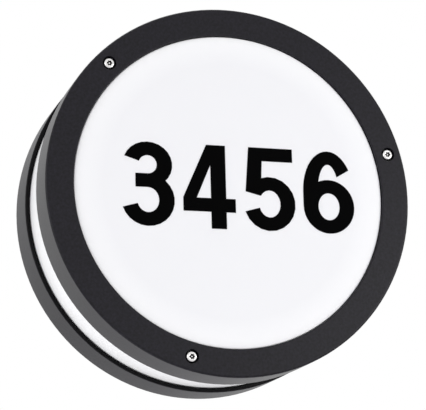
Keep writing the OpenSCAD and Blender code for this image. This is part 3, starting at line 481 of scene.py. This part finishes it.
def rolled_sheet(name, rgb, stain):
    """Thin rolled metal sheet: satin, darker where fingers and solder left a haze."""
    def make(recipe):
        at = recipe.place()
        haze = recipe.noise(at, 70, 4.0)
        grain = recipe.noise(recipe.place(scale=(1, 8, 8)), 500, 2.0)
        return {
            "Base Color": recipe.blend(recipe.ramp(haze, [(0.4, 0.0), (0.8, 1.0)]), rgb, stain),
            "Roughness": 0.24 + 0.14 * haze + 0.06 * grain,
            "Normal": recipe.bump(grain, 6 * MICRON),
        }
    return shade(name, make, **{"Metallic": 1.0})


def frosted_envelope(rgb):
    """Frosted plastic dome: milky, silky, with the faintest ripple."""
    def make(recipe):
        at = recipe.place()
        ripple = recipe.noise(at, 40, 2.0)
        frost = recipe.noise(at, 1800, 2.0)
        return {
            "Base Color": recipe.blend(ripple, tinted(rgb, 0.97), rgb),
            "Roughness": 0.34 + 0.12 * frost,
            "Normal": recipe.bump(frost, 4 * MICRON),
        }
    return shade("Frosted envelope", make, **{"Specular IOR Level": 0.4})


def finish(material, *nodes):
    """Gives packed nodes a material on all their slots."""
    for name in nodes:
        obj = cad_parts[name]
        if not obj.material_slots:
            obj.data.materials.append(material)
        for slot in obj.material_slots:
            slot.material = material


# Surfaces


def skin(name, rings, material, body, replaced, closed=False, sockets=None):
    """A closed surface from rings of points, an array of ring, point around and X Y Z.

    Point j of ring i joins point j + 1 and ring i + 1, and around counts modulo the points of a ring. With
    closed, the last ring joins the first. Otherwise each end is closed to a pole, the mean of its ring.
    sockets holds 0 or 1 for each ring and becomes the Socket attribute."""
    rings = np.asarray(rings, dtype=float)
    count, around = rings.shape[:2]
    points = rings.reshape(-1, 3)
    reach = count if closed else count - 1
    row = np.arange(reach)[:, None] * around
    following = (np.arange(reach)[:, None] + 1) % count * around
    here = np.arange(around)[None, :]
    beside = (here + 1) % around
    quads = np.stack([row + here, row + beside, following + beside, following + here], -1).reshape(-1, 4)

    run = np.linalg.norm(np.diff(rings.mean(axis=1), axis=0), axis=1)
    reach_out = np.linalg.norm(np.diff(rings[:, 0], axis=0), axis=1)
    along = np.concatenate([[0.0], np.cumsum(np.maximum(run, reach_out))])
    along = np.append(along, along[-1] + (np.linalg.norm(rings[0, 0] - rings[-1, 0]) if closed else 0.0))
    left = np.broadcast_to(np.arange(around)[None, :] / around, (reach, around))
    low = np.broadcast_to(along[:reach, None], (reach, around))
    high = np.broadcast_to(along[1:reach + 1, None], (reach, around))
    right = left + 1 / around
    uv = np.stack([left, low, right, low, right, high, left, high], -1).reshape(-1, 8)

    faces = quads.tolist()
    corners = uv.reshape(-1).tolist()
    if not closed:
        poles = np.stack([rings[0].mean(axis=0), rings[-1].mean(axis=0)])
        points = np.concatenate([points, poles])
        step = np.arange(around)
        nearby = (step + 1) % around
        first = np.full(around, count * around)
        start = np.stack([first, nearby, step], -1)
        end = np.stack([first + 1, (count - 1) * around + step, (count - 1) * around + nearby], -1)
        faces += start.tolist() + end.tolist()
        centre = (step + 0.5) / around
        sides = step / around
        last = np.full(around, along[count - 1])
        zero = np.zeros(around)
        corners += np.stack([centre, zero, sides + 1 / around, zero, sides, zero], -1).reshape(-1).tolist()
        corners += np.stack([centre, last, sides, last, sides + 1 / around, last], -1).reshape(-1).tolist()

    mesh = bpy.data.meshes.new(name)
    mesh.from_pydata(points.tolist(), [], faces)
    mesh.uv_layers.new(name="Profile").data.foreach_set("uv", corners)
    if sockets is not None:
        marks = np.append(np.repeat(sockets, around), (sockets[0], sockets[-1])).astype(np.float32)
        mesh.attributes.new("Socket", "FLOAT", "POINT").data.foreach_set("value", marks)
    if signed_volume(points, quads) < 0:
        mesh.flip_normals()
    mesh.polygons.foreach_set("use_smooth", [True] * len(mesh.polygons))
    mesh.set_sharp_from_angle(angle=SHARP)
    mesh.materials.append(material)
    mesh.update()
    obj = bpy.data.objects.new(name, mesh)
    bpy.context.scene.collection.objects.link(obj)
    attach(obj, body)
    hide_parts(replaced)
    return obj


def signed_volume(points, quads):
    """Six times the volume that the quads enclose, from the triple products of their two triangles."""
    a, b, c, d = (points[quads[:, k]] for k in range(4))
    return float(np.sum(np.cross(a, b) * c) + np.sum(np.cross(a, c) * d))


def angles(around):
    """Equal steps round a ring, in radians."""
    return TURN * np.arange(around) / around


def bend(centre, radius, start, end, count):
    """Points of an arc: centre plus radius times cosine and sine of angles from start to end in degrees."""
    a = np.radians(np.linspace(start, end, count))
    return np.stack([centre[0] + radius * np.cos(a), centre[1] + radius * np.sin(a)], -1)


def lamp_rings(along, radius, theta, axis_y, axis_z):
    """Rings about a line along +X: y = axis + radius cos theta, z = axis + radius sin theta."""
    along, radius = np.broadcast_arrays(along, radius)
    return np.stack([along, axis_y + radius * np.cos(theta), axis_z + radius * np.sin(theta)], -1)


def screw_rings(height, radius, theta, place):
    """Rings about a line along -Y: x = radius cos theta, z = radius sin theta, y falls as height grows."""
    height, radius = np.broadcast_arrays(height, radius)
    return np.stack([place[0] + radius * np.cos(theta), place[1] - height,
                     place[2] + radius * np.sin(theta)], -1)


def smooth_step(x, low, high):
    """0 below low, 1 above high, and 3t^2 - 2t^3 between them."""
    t = np.clip((x - low) / (high - low), 0.0, 1.0)
    return t * t * (3 - 2 * t)


def middle(node):
    """The middle of a node's box."""
    low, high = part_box(node)
    return (low + high) / 2


# Cover screws


SCREW_SIDES = 96
DOME_RINGS = 16
THREAD_RINGS = 190
LOBE_SHARE = 0.74  # the socket's radius between two lobes over its radius at a lobe
MOUTH_EDGE = 0.12 * MM  # broken edge at the socket's mouth
FLAT_W = 0.5 * MM  # flat round the mouth, before the dome begins
SMALL_EDGE = 0.05 * MM  # edge at the socket's floor and at the screw's end
HEAD_EDGE_H = 0.10 * MM  # edge between the dome and the head's seat
HEAD_EDGE_W = 0.15 * MM
FILLET_W = 0.3 * MM  # fillet between the head's seat and the neck
FILLET_H = 0.25 * MM
NECK_REST = 0.4 * MM  # the neck's last ring lies this far before its end
FLANK = 1.25  # steepness of the thread's triangle wave, whose crests are clipped
FLAT_ROOT = 0.06  # share of the wave that is cut off for a flat root
THREAD_FADE = 0.3 * MM  # how far before the neck's end and the screw's end the thread's fades lie
END_STEPS = (0.25 * MM, 0.40 * MM)  # how far the screw's last two rings draw in from the root
END_SHARE = 0.3  # radius of the flat end over the crest's


def screw_surface(s, under_head, length_under):
    """Rings of a button-head screw with a pinned six-lobed socket.

    The height above the head's seat and the radius run from the pin's top, down its side, over the socket's
    floor, up its lobed wall, over the dome and down the shank. The lobed wall's radius is a mean plus a
    cosine of six times the angle. The thread's radius is the root plus a clipped triangle wave of height
    over pitch minus angle over a turn, faded out at both ends."""
    theta = angles(SCREW_SIDES)[None, :]
    ones = np.ones_like(theta)
    outer, inner = s.socket_d / 2, s.socket_d / 2 * LOBE_SHARE
    lobes = (outer + inner) / 2 + (outer - inner) / 2 * np.cos(6 * theta)
    floor = s.head_h - s.socket_h
    pin_r = s.pin_d / 2
    pin_side = s.head_h - s.pin_drop - pin_r
    mouth = lobes + MOUTH_EDGE
    flat_r = outer + FLAT_W
    head_r = s.head_d / 2
    crest = s.shank_d / 2
    root = crest - s.thread_h
    heights = []
    radii = []
    sockets = []

    def row(height, radius, socket=0.0):
        heights.append(height * ones)
        radii.append(radius * ones)
        sockets.extend([socket] * len(heights[-1]))

    for radius, height in bend((0, pin_side), pin_r, 84, 20, 6):
        row(height, radius)
    row(pin_side, pin_r)
    for share in (0.5, 0.06, 0.0):
        row(floor + (pin_side - floor) * share, pin_r + SMALL_EDGE * (1 - share), 1.0)
    for share in (0.35, 0.7, 0.94):
        row(floor, (pin_r + SMALL_EDGE) * (1 - share) + (lobes - SMALL_EDGE) * share, 1.0)
    row(floor + SMALL_EDGE, lobes, 1.0)
    row(floor + s.socket_h * 0.5, lobes, 1.0)
    row(s.head_h - 2 * MOUTH_EDGE, lobes, 1.0)
    row(s.head_h - MOUTH_EDGE, lobes)
    row(s.head_h - 0.3 * MOUTH_EDGE, lobes + 0.3 * MOUTH_EDGE)
    row(s.head_h, mouth)
    for share in (0.5, 1.0):
        row(s.head_h, mouth * (1 - share) + flat_r * share)

    dome = np.radians(np.linspace(86, 10, DOME_RINGS))[:, None]
    row(s.head_h * np.sin(dome), flat_r + (head_r - flat_r) * np.cos(dome))
    row(HEAD_EDGE_H, head_r)
    row(0.0, head_r - HEAD_EDGE_W)
    row(0.0, crest + FILLET_W)
    row(-FILLET_H, crest)
    row(-s.neck_l + NECK_REST, crest)

    start, end = s.neck_l - THREAD_FADE, length_under - THREAD_FADE
    depth = np.linspace(start, end - SMALL_EDGE, THREAD_RINGS)[:, None]
    phase = (-depth / s.pitch - theta / TURN) % 1.0
    wave = np.clip(FLANK * (1 - np.abs(2 * phase - 1)) - FLAT_ROOT, 0.0, 1.0)
    begun = smooth_step(depth, start, s.neck_l + s.pitch)
    ended = smooth_step(depth, length_under - s.pitch, end)
    row(-depth, (root + s.thread_h * wave * (1 - ended)) * begun + crest * (1 - begun))
    row(SMALL_EDGE - length_under, root - END_STEPS[0])
    row(-length_under, root - END_STEPS[1])
    row(-length_under, crest * END_SHARE)
    rings = screw_rings(np.concatenate(heights), np.concatenate(radii), theta, under_head)
    return rings, np.array(sockets)


class BULKHEAD_OT_cover_screws(bpy.types.Operator):
    """Turns the three cover screws, with their threads and pinned sockets"""

    bl_idname = "bulkhead.cover_screws"
    bl_label = "Cover screws"

    def execute(self, context):
        s = context.scene.bulkhead_screws
        # Painted shade for the inside of the six-lobed socket
        painted_socket_shade = (0.035, 0.033, 0.032)
        steel = turned_metal("Stainless steel", tuple(context.scene.bulkhead_finish.steel), 0.14, painted_socket_shade)
        for i in (1, 2, 3):
            node = f"cover_screw_{i}"
            low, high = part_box(node)
            centre = middle(node)
            seat_y = low.y + s.head_h
            rings, sockets = screw_surface(s, (centre.x, seat_y, centre.z), high.y - seat_y)
            skin(f"button_screw_{i}", rings, steel, f"screw_{i}", node, sockets=sockets)
        return {"FINISHED"}


# Lamp and its shell


LAMP_SIDES = 128
NEAR_POLE = 88.5  # angle in degrees at which the envelope's rings end before its pole


def rounded_thread(x, theta, root, depth, pitch, start):
    """Radius of a rounded thread: root plus half the depth times one minus the cosine of the phase, which
    is length over pitch minus angle over a turn."""
    return root + depth * (1 - np.cos(TURN * ((x - start) / pitch) - theta)) / 2


def half_width(node):
    """Half the height of a node's box, which is the outer radius of a round piece on the lamp's axis."""
    low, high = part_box(node)
    return (high.z - low.z) / 2


class BULKHEAD_OT_lamp(bpy.types.Operator):
    """Rolls the lamp's cap and forms its collar and envelope"""

    bl_idname = "bulkhead.lamp"
    bl_label = "Lamp"

    def execute(self, context):
        s = context.scene.bulkhead_lamp
        theta = angles(LAMP_SIDES)[None, :]
        axis = middle("lamp_cap")
        self.cap(s, theta, axis)
        self.collar(theta, axis)
        self.envelope(theta, axis, s.wall)
        return {"FINISHED"}

    def cap(self, s, theta, axis):
        """A rounded edge at the insulator, then the rounded thread, faded out at both ends."""
        low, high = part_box("lamp_cap")
        # Flat at the insulator, length over which the thread begins, and where it fades before the mouth
        flat, run_in = 0.8 * MM, 2.2 * MM
        fade_from, fade_to = 3.2 * MM, 1.4 * MM
        root = half_width("lamp_cap") - s.thread_h
        cap_l = high.x - low.x

        edge = bend((root - s.cap_round, s.cap_round), s.cap_round, -90, 0, 8)
        edge = np.concatenate([[(root - s.cap_round - flat, 0.0)], edge])
        x = np.linspace(s.cap_round, cap_l, 110)[1:, None]
        fade = smooth_step(x, s.cap_round, s.cap_round + run_in)
        fade *= 1 - smooth_step(x, cap_l - fade_from, cap_l - fade_to)
        thread = rounded_thread(x, theta, root, s.thread_h * fade, s.pitch, s.cap_round)
        along = np.concatenate([edge[:, 1:], x])
        radius = np.concatenate([edge[:, :1] * np.ones_like(theta), thread])
        rings = lamp_rings(low.x + along, radius, theta, axis.y, axis.z)
        sheet = rolled_sheet("Nickelled cap", (0.70, 0.69, 0.66), (0.42, 0.40, 0.36))
        skin("rolled_cap", rings, sheet, "lamp", "lamp_cap")

    def collar(self, theta, axis):
        """The collar's radius swells from the cap to the envelope as one minus a cosine to the power 0.8,
        while its length goes as a sine. A groove ends the straight part before it."""
        low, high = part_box("lamp_collar")
        cap_r = half_width("lamp_cap")
        mouth = half_width("lamp_collar")
        wall, straight, power = 0.9 * MM, 5.0 * MM, 0.8
        groove_w, groove_h = 0.3 * MM, 0.15 * MM
        mouth_w, hole_r = 1.2 * MM, 1.0 * MM
        end_r = cap_r + wall
        collar_l = high.x - low.x

        t = np.radians(np.linspace(0, 90, 40))
        swell = end_r + (mouth - end_r) * (1 - np.cos(t)) ** power
        reach = straight + (collar_l - straight) * np.sin(t)
        edge = bend((cap_r, wall), wall, -80, 0, 8)
        along = np.array([0.0, 0.0, *edge[:, 1], straight - 2 * groove_w, straight - groove_w, *reach,
                          collar_l, collar_l])
        radius = np.array([hole_r, cap_r, *edge[:, 0], end_r, end_r - groove_h, *swell, mouth - mouth_w,
                           hole_r])
        rings = lamp_rings(low.x + along[:, None], radius[:, None] * np.ones_like(theta), theta, axis.y,
                           axis.z)
        plastic = moulded("White lamp plastic", (0.84, 0.84, 0.82), 0.30, 1700, level=0.45, marks=0.02)
        skin("smooth_collar", rings, plastic, "lamp", "lamp_collar")

    def envelope(self, theta, axis, wall):
        """A spherical dome with its inner wall: length is a sine, radius a cosine of the same angle."""
        outer = half_width("lamp_envelope")
        inner = outer - wall
        mouth_angle = math.acos(min(1.0, half_width("lamp_collar") / outer))
        inner_angle = math.asin(outer * math.sin(mouth_angle) / inner)
        outside = bend((0, 0), outer, NEAR_POLE, -math.degrees(mouth_angle), 64)
        inside = bend((0, 0), inner, -math.degrees(inner_angle), NEAR_POLE, 48)
        profile = np.concatenate([outside, inside])
        centre_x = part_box("lamp_envelope")[1].x - outer
        rings = lamp_rings(centre_x + profile[:, 1:], profile[:, :1] * np.ones_like(theta), theta, axis.y,
                           axis.z)
        skin("frosted_dome", rings, frosted_envelope((0.88, 0.88, 0.86)), "lamp", "lamp_envelope")


class BULKHEAD_OT_holder_shell(bpy.types.Operator):
    """Rolls the threaded shell of the lampholder"""

    bl_idname = "bulkhead.holder_shell"
    bl_label = "Lampholder shell"

    def execute(self, context):
        s = context.scene.bulkhead_lamp
        theta = angles(LAMP_SIDES)[None, :]
        ones = np.ones_like(theta)
        low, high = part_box("lampholder_shell")
        cap_r = half_width("lamp_cap")
        root = cap_r - s.thread_h + s.fit
        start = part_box("lamp_cap")[0].x + s.cap_round
        # Radius of the hole in the foot, and the lengths of the foot, the lip and the thread's two fades
        bore, foot, lip = 7.5 * MM, 1.6 * MM, 1.2 * MM
        run_in, run_out = 3.0 * MM, 2.5 * MM
        # Space round the cap, then the small steps at the lip, the foot's inner corner and its outside
        space = 0.9 * MM
        bead, corner, shoulder, foot_edge = 0.3 * MM, 1.2 * MM, 1.0 * MM, 0.2 * MM
        wide = cap_r + space
        plain = wide - s.sheet

        x = np.linspace(foot, high.x - low.x - lip, 150)[:, None]
        fade = smooth_step(x, foot, foot + run_in) * (1 - smooth_step(x, x[-1] - run_out, x[-1]))
        thread = rounded_thread(low.x + x, theta, root, s.thread_h, s.pitch, start)
        inner = thread * fade + plain * (1 - fade)
        outer = np.minimum(inner + s.sheet, wide)
        x = low.x + x
        floor = np.array([(low.x, bore), (low.x + s.sheet, bore), (low.x + s.sheet, wide - corner)])
        rim = np.array([(high.x - bead, plain), (high.x, wide - 0.5 * s.sheet), (high.x - bead, wide)])
        foot_r = half_width("lampholder_shell")
        back = np.array([(low.x + shoulder, wide), (low.x, foot_r - foot_edge)])
        along = np.concatenate([floor[:, :1], x, rim[:, :1], x[::-1], back[:, :1]])
        radius = np.concatenate([floor[:, 1:] * ones, inner, rim[:, 1:] * ones, outer[::-1],
                                 back[:, 1:] * ones])
        axis = middle("lamp_cap")
        rings = lamp_rings(along, radius, theta, axis.y, axis.z)
        brass = rolled_sheet("Rolled brass", tuple(context.scene.bulkhead_finish.brass), (0.38, 0.25, 0.10))
        skin("threaded_shell", rings, brass, "housing", "lampholder_shell", closed=True)
        return {"FINISHED"}


# Leads


# Each lead's material slot, and its route in millimetres to the right, up and off the wall
ROUTES = {
    "live_lead": ("brown_insulation", [
        (-10, 30, 14.5), (-10, 38, 14.5), (-13, 46, 14.5), (-22, 50, 14.5), (-34, 48.5, 15),
        (-43.5, 43, 16.5), (-49, 37, 19.5), (-50.8, 32.5, 24.5), (-51.2, 29, 29), (-53, 22, 32),
        (-57, 11, 33.5), (-61.5, 0, 34.5), (-65, -5.5, 37), (-66, -7, 42), (-66, -7, 46)]),
    "neutral_lead": ("blue_insulation", [
        (0, 30, 14.5), (0, 38, 14.5), (-3, 50, 14.5), (-14, 56, 14.5), (-28, 56, 15), (-41, 52, 15.5),
        (-50, 45, 16.5), (-54.5, 37.5, 19.5), (-55.2, 32, 25), (-56.5, 26.5, 30), (-60, 18, 33.5),
        (-63.5, 11, 34.5), (-65.5, 7.8, 37), (-66, 7, 42), (-66, 7, 46)]),
    "earth_lead": ("green_yellow_insulation", [
        (10, 30, 14.5), (10, 38, 14.5), (12, 48, 14.5), (18, 54, 14), (26, 54, 13.5), (32, 49, 13),
        (34, 43, 12.9), (34, 39.5, 12.9), (34, 34.2, 12.9)]),
}


def spline(points, steps):
    """Points of a Catmull-Rom curve: in each stretch half the sum of four cubic weights times the points
    before, at, after and after next, with the ends carried on straight."""
    p = np.concatenate([[2 * points[0] - points[1]], points, [2 * points[-1] - points[-2]]])
    t = (np.arange(steps) / steps)[None, :, None]
    a, b, c, d = (p[k:len(p) - 3 + k, None, :] for k in range(4))
    curve = 0.5 * (2 * b + (c - a) * t + (2 * a - 5 * b + 4 * c - d) * t ** 2
                   + (3 * b - a - 3 * c + d) * t ** 3)
    return np.concatenate([curve.reshape(-1, 3), points[-1:]])


def tube(path, radius, around):
    """Rings of a round tube: path plus radius times cosine and sine along two directions across the path,
    which are carried on from ring to ring by taking away what runs along it. Both ends have a broken edge."""
    any_side = (0.31, 0.42, 0.85)
    edge = 0.2
    along = np.gradient(path, axis=0)
    along /= np.linalg.norm(along, axis=1)[:, None]
    across = np.empty_like(path)
    start = np.cross(along[0], any_side)
    across[0] = start / np.linalg.norm(start)
    for i in range(1, len(path)):
        carried = across[i - 1] - along[i] * np.dot(across[i - 1], along[i])
        across[i] = carried / np.linalg.norm(carried)
    over = np.cross(along, across)
    theta = angles(around)[None, :, None]
    circles = np.cos(theta) * across[:, None, :] + np.sin(theta) * over[:, None, :]
    rings = path[:, None, :] + radius * circles
    first = path[0] + (rings[0] - path[0]) * (1 - edge)
    last = path[-1] + (rings[-1] - path[-1]) * (1 - edge)
    rings[0] += along[0] * radius * edge
    rings[-1] -= along[-1] * radius * edge
    return np.concatenate([first[None], rings, last[None]])


class BULKHEAD_OT_leads(bpy.types.Operator):
    """Draws the three insulated leads along their routes"""

    bl_idname = "bulkhead.leads"
    bl_label = "Leads"

    def execute(self, context):
        s = context.scene.bulkhead_leads
        paints = {
            "live_lead": striped_insulation("Brown insulation", (0.17, 0.062, 0.026)),
            "neutral_lead": striped_insulation("Blue insulation", (0.022, 0.095, 0.36)),
            "earth_lead": striped_insulation("Green and yellow insulation", (0.030, 0.24, 0.045),
                                             (0.80, 0.64, 0.030)),
        }
        for node, (slot, route) in ROUTES.items():
            bench = np.array(route, dtype=float) * MM
            points = np.stack([bench[:, 0], -bench[:, 2], bench[:, 1]], -1)
            rings = tube(spline(points, s.steps), s.lead_d / 2, s.sides)
            skin(f"insulated_{node}", rings, paints[node], "housing", node)
        return {"FINISHED"}


# Finishes of the packed nodes


class BULKHEAD_OT_castings(bpy.types.Operator):
    """Powder-coats the front ring and the rear housing"""

    bl_idname = "bulkhead.castings"
    bl_label = "Castings"

    def execute(self, context):
        s = context.scene.bulkhead_finish
        low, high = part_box("rear_housing")
        ledge_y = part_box("diffuser_seal")[1].y
        almost_wall = 2.8 * MM
        wall_r = (high.x - low.x) / 2 - almost_wall
        # Both coats carry painted shade in the slot between the pot and the housing
        for name, gloss, node in (("Ring coat", s.ring_gloss, "front_ring"),
                                  ("Housing coat", s.housing_gloss, "rear_housing")):
            finish(powder_coat(name, tuple(s.coat), gloss, s.peel, low.y, ledge_y, wall_r), node)
        return {"FINISHED"}


class BULKHEAD_OT_window(bpy.types.Operator):
    """Finishes the opal pot and the figures on its window"""

    bl_idname = "bulkhead.window"
    bl_label = "Window"

    def execute(self, context):
        s = context.scene.bulkhead_finish
        finish(opal_acrylic(tuple(s.opal), tuple(s.opal_rim_painted_light)), "diffuser")
        finish(cut_film(tuple(s.film)), "house_number")
        return {"FINISHED"}


class BULKHEAD_OT_gear(bpy.types.Operator):
    """Finishes the tray, the lampholder, the terminal block and their fasteners"""

    bl_idname = "bulkhead.gear"
    bl_label = "Gear"

    def execute(self, context):
        s = context.scene.bulkhead_finish
        zinc = tuple(s.zinc)
        finish(worked_metal("Zinc plate", zinc, 0.26, 0.16, stain=(0.50, 0.50, 0.46)), "cover_posts",
               "tray_standoffs", "tray_screws", "lampholder_screws", "terminal_screws", "block_screws",
               "earth_screw")
        finish(worked_metal("Zinc-plated sheet", zinc, 0.32, 0.18, 400, stain=(0.46, 0.47, 0.45)),
               "lampholder_bracket")
        finish(worked_metal("Rivet aluminium", (0.68, 0.69, 0.70), 0.30, 0.12), "bracket_rivets")
        finish(worked_metal("Brass", tuple(s.brass), 0.24, 0.16, stain=(0.42, 0.27, 0.10)),
               "lampholder_contact", "terminal_clamps")
        finish(worked_metal("Tinned brass", (0.66, 0.65, 0.61), 0.28, 0.14), "earth_tag")
        finish(worked_metal("Solder", (0.60, 0.60, 0.60), 0.26, 0.20, 700, 20 * MICRON), "lamp_tip")
        finish(glazed("Glazed porcelain", tuple(s.glaze), 0.16), "lampholder_body")
        finish(glazed("Black glass", (0.010, 0.010, 0.012)), "lamp_insulator")
        enamel = moulded("White enamel", tuple(s.enamel), 0.26, 520, 10 * MICRON, level=0.5, marks=0.02)
        finish(enamel, "gear_tray")
        finish(moulded("White polyamide", (0.78, 0.78, 0.74), 0.42, marks=0.04), "terminal_block")
        finish(moulded("Black plastic", (0.020, 0.020, 0.021), 0.45), "tray_bush")
        just_over_board = 1.65 * MM
        finish(light_board_mask(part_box("lamp_light_board")[0].x + just_over_board), "lamp_light_board")
        return {"FINISHED"}


class BULKHEAD_OT_seals(bpy.types.Operator):
    """Finishes the seals, the cable entries and the foam gasket"""

    bl_idname = "bulkhead.seals"
    bl_label = "Seals"

    def execute(self, context):
        s = context.scene.bulkhead_finish
        finish(moulded("Black rubber", tuple(s.rubber), 0.62, 900, 10 * MICRON, 0.35), "diffuser_seal",
               "window_seal", "screw_seal_1", "screw_seal_2", "screw_seal_3")
        finish(moulded("Grey rubber", (0.060, 0.060, 0.063), 0.66, 800, 10 * MICRON, 0.35), "cable_grommet",
               "blanking_plug")
        finish(closed_foam((0.020, 0.020, 0.021)), "wall_gasket")
        return {"FINISHED"}


# Stage


CAMERA_AT = Vector((-0.4415, -1.5029, -0.3676))
CAMERA_AIM = Vector((-0.01605, -0.117, -0.01348))
FLOOR_R = 4.0
FLOOR_SIDES = 96
LIGHT_AIM = (0.0, -0.06, 0.0)
# Place, aim and side length of each lamp
LAMPS = {
    "key": ((1.36, -1.75, 0.05), LIGHT_AIM, 0.8),
    "side": ((-1.9, -0.9, 0.15), LIGHT_AIM, 1.6),
    "top": ((0.0, 0.55, 2.2), (0.0, 0.1, -0.5), 1.8),
    "low": ((-0.24, -0.12, -0.42), LIGHT_AIM, 0.22),
}


def look_at(place, aim, roll=0.0):
    """A matrix at place whose -Z looks at aim, with +Z of the world up, rolled about the view."""
    ahead = (aim - place).normalized()
    right = ahead.cross(Vector((0, 0, 1))).normalized()
    up = right.cross(ahead)
    across = right * math.cos(roll) + up * math.sin(roll)
    over = up * math.cos(roll) - right * math.sin(roll)
    turned = Matrix((across, over, -ahead)).transposed().to_4x4()
    return Matrix.Translation(place) @ turned


def soft_light(name, place, aim, size, strength):
    """A square area light that looks at a point."""
    light = bpy.data.lights.new(name, "AREA")
    light.shape = "SQUARE"
    light.size = size
    light.energy = strength
    obj = bpy.data.objects.new(name, light)
    obj.matrix_world = look_at(Vector(place), Vector(aim))
    obj.visible_camera = False
    bpy.context.scene.collection.objects.link(obj)


def studio_world(scene, strength):
    """An even white room: plain white where it is seen, mirrored or seen through, and a little less of it
    for the light it gives."""
    world = bpy.data.worlds.new("Studio")
    world.use_nodes = True
    recipe = Recipe(world.node_tree)
    seen, mirrored, through = (recipe.node("ShaderNodeLightPath", output=f"Is {ray} Ray")
                               for ray in ("Camera", "Glossy", "Transmission"))
    room = recipe.node("ShaderNodeBackground", {}, {"Color": (0.985, 0.975, 1.0, 1.0), "Strength": strength})
    white = recipe.node("ShaderNodeBackground", {}, {"Color": (1.0, 1.0, 1.0, 1.0), "Strength": 1.0})
    both = recipe.node("ShaderNodeMixShader", {}, {0: seen + mirrored + through, 1: room, 2: white})
    recipe.node("ShaderNodeOutputWorld", {}, {"Surface": both})
    scene.world = world


def floor_material():
    """Pale floor that fades to plain white away from the object."""
    material = bpy.data.materials.new("Pale floor")
    material.use_nodes = True
    recipe = Recipe(material.node_tree)
    at = recipe.place()
    x, y = recipe.axis(at, "X"), recipe.axis(at, "Y")
    far = (x * x + y * y) ** 0.5
    fade = recipe.ramp(far / FLOOR_R, [(0.22, 0.0), (0.75, 1.0)])
    mottled = recipe.blend(recipe.noise(at, 6, 3.0), (0.89, 0.89, 0.895), (0.92, 0.92, 0.925))
    matt = recipe.node("ShaderNodeBsdfDiffuse", {}, {"Color": mottled})
    white = recipe.node("ShaderNodeEmission", {}, {"Color": (1.0, 1.0, 1.0, 1.0), "Strength": 1.0})
    both = recipe.node("ShaderNodeMixShader", {}, {0: fade, 1: matt, 2: white})
    recipe.node("ShaderNodeOutputMaterial", {}, {"Surface": both})
    return material


class BULKHEAD_OT_stage(bpy.types.Operator):
    """Sets the camera, the floor and the studio light"""

    bl_idname = "bulkhead.stage"
    bl_label = "Stage"

    def execute(self, context):
        scene = context.scene
        s = scene.bulkhead_stage
        camera = bpy.data.cameras.new("Camera")
        camera.sensor_width = 36.0
        camera.lens = s.lens
        eye = bpy.data.objects.new("Camera", camera)
        eye.matrix_world = look_at(CAMERA_AT, CAMERA_AIM, s.roll)
        scene.collection.objects.link(eye)
        scene.camera = eye

        theta = angles(FLOOR_SIDES)
        x, y = FLOOR_R * np.cos(theta), FLOOR_R * np.sin(theta)
        ring = np.stack([x, y, np.full_like(theta, s.floor_z)], -1)
        mesh = bpy.data.meshes.new("floor")
        mesh.from_pydata(ring.tolist(), [], [list(range(len(ring)))])
        mesh.materials.append(floor_material())
        floor = bpy.data.objects.new("floor", mesh)
        scene.collection.objects.link(floor)

        studio_world(scene, s.room)
        for name, (place, aim, size) in LAMPS.items():
            soft_light(name.capitalize(), place, aim, size, getattr(s, name))
        scene.view_settings.view_transform = "Standard"
        return {"FINISHED"}


# Sidebar


OPERATORS = (
    BULKHEAD_OT_stage, BULKHEAD_OT_castings, BULKHEAD_OT_window, BULKHEAD_OT_seals, BULKHEAD_OT_gear,
    BULKHEAD_OT_cover_screws, BULKHEAD_OT_lamp, BULKHEAD_OT_holder_shell, BULKHEAD_OT_leads,
)
SETTINGS = {
    "bulkhead_finish": FinishSettings, "bulkhead_screws": ScrewSettings, "bulkhead_lamp": LampSettings,
    "bulkhead_leads": LeadSettings, "bulkhead_stage": StageSettings,
}


class BULKHEAD_PT_panel(bpy.types.Panel):
    """Sizes, colours and steps of the wall light"""

    bl_idname = "BULKHEAD_PT_panel"
    bl_label = "Wall light"
    bl_space_type = "VIEW_3D"
    bl_region_type = "UI"
    bl_category = "Wall light"

    def draw(self, context):
        for operator in OPERATORS:
            self.layout.operator(operator.bl_idname)
        for key, group in SETTINGS.items():
            box = self.layout.box()
            box.label(text=group.__doc__)
            for name in group.__annotations__:
                box.prop(getattr(context.scene, key), name)


def register():
    """Registers the settings, the operators and the panel."""
    for cls in (*SETTINGS.values(), *OPERATORS, BULKHEAD_PT_panel):
        bpy.utils.register_class(cls)
    for key, group in SETTINGS.items():
        setattr(bpy.types.Scene, key, PointerProperty(type=group))


def unregister():
    """Takes them out again."""
    for key in SETTINGS:
        delattr(bpy.types.Scene, key)
    for cls in reversed((*SETTINGS.values(), *OPERATORS, BULKHEAD_PT_panel)):
        bpy.utils.unregister_class(cls)


def plain(box):
    """A box as plain lists of numbers."""
    return [[round(float(value), 6) for value in corner] for corner in box]


def main():
    """Builds the scene."""
    register()
    for operator in OPERATORS:
        group, name = operator.bl_idname.split(".")
        getattr(getattr(bpy.ops, group), name)()


if __name__ == "__main__":
    main()
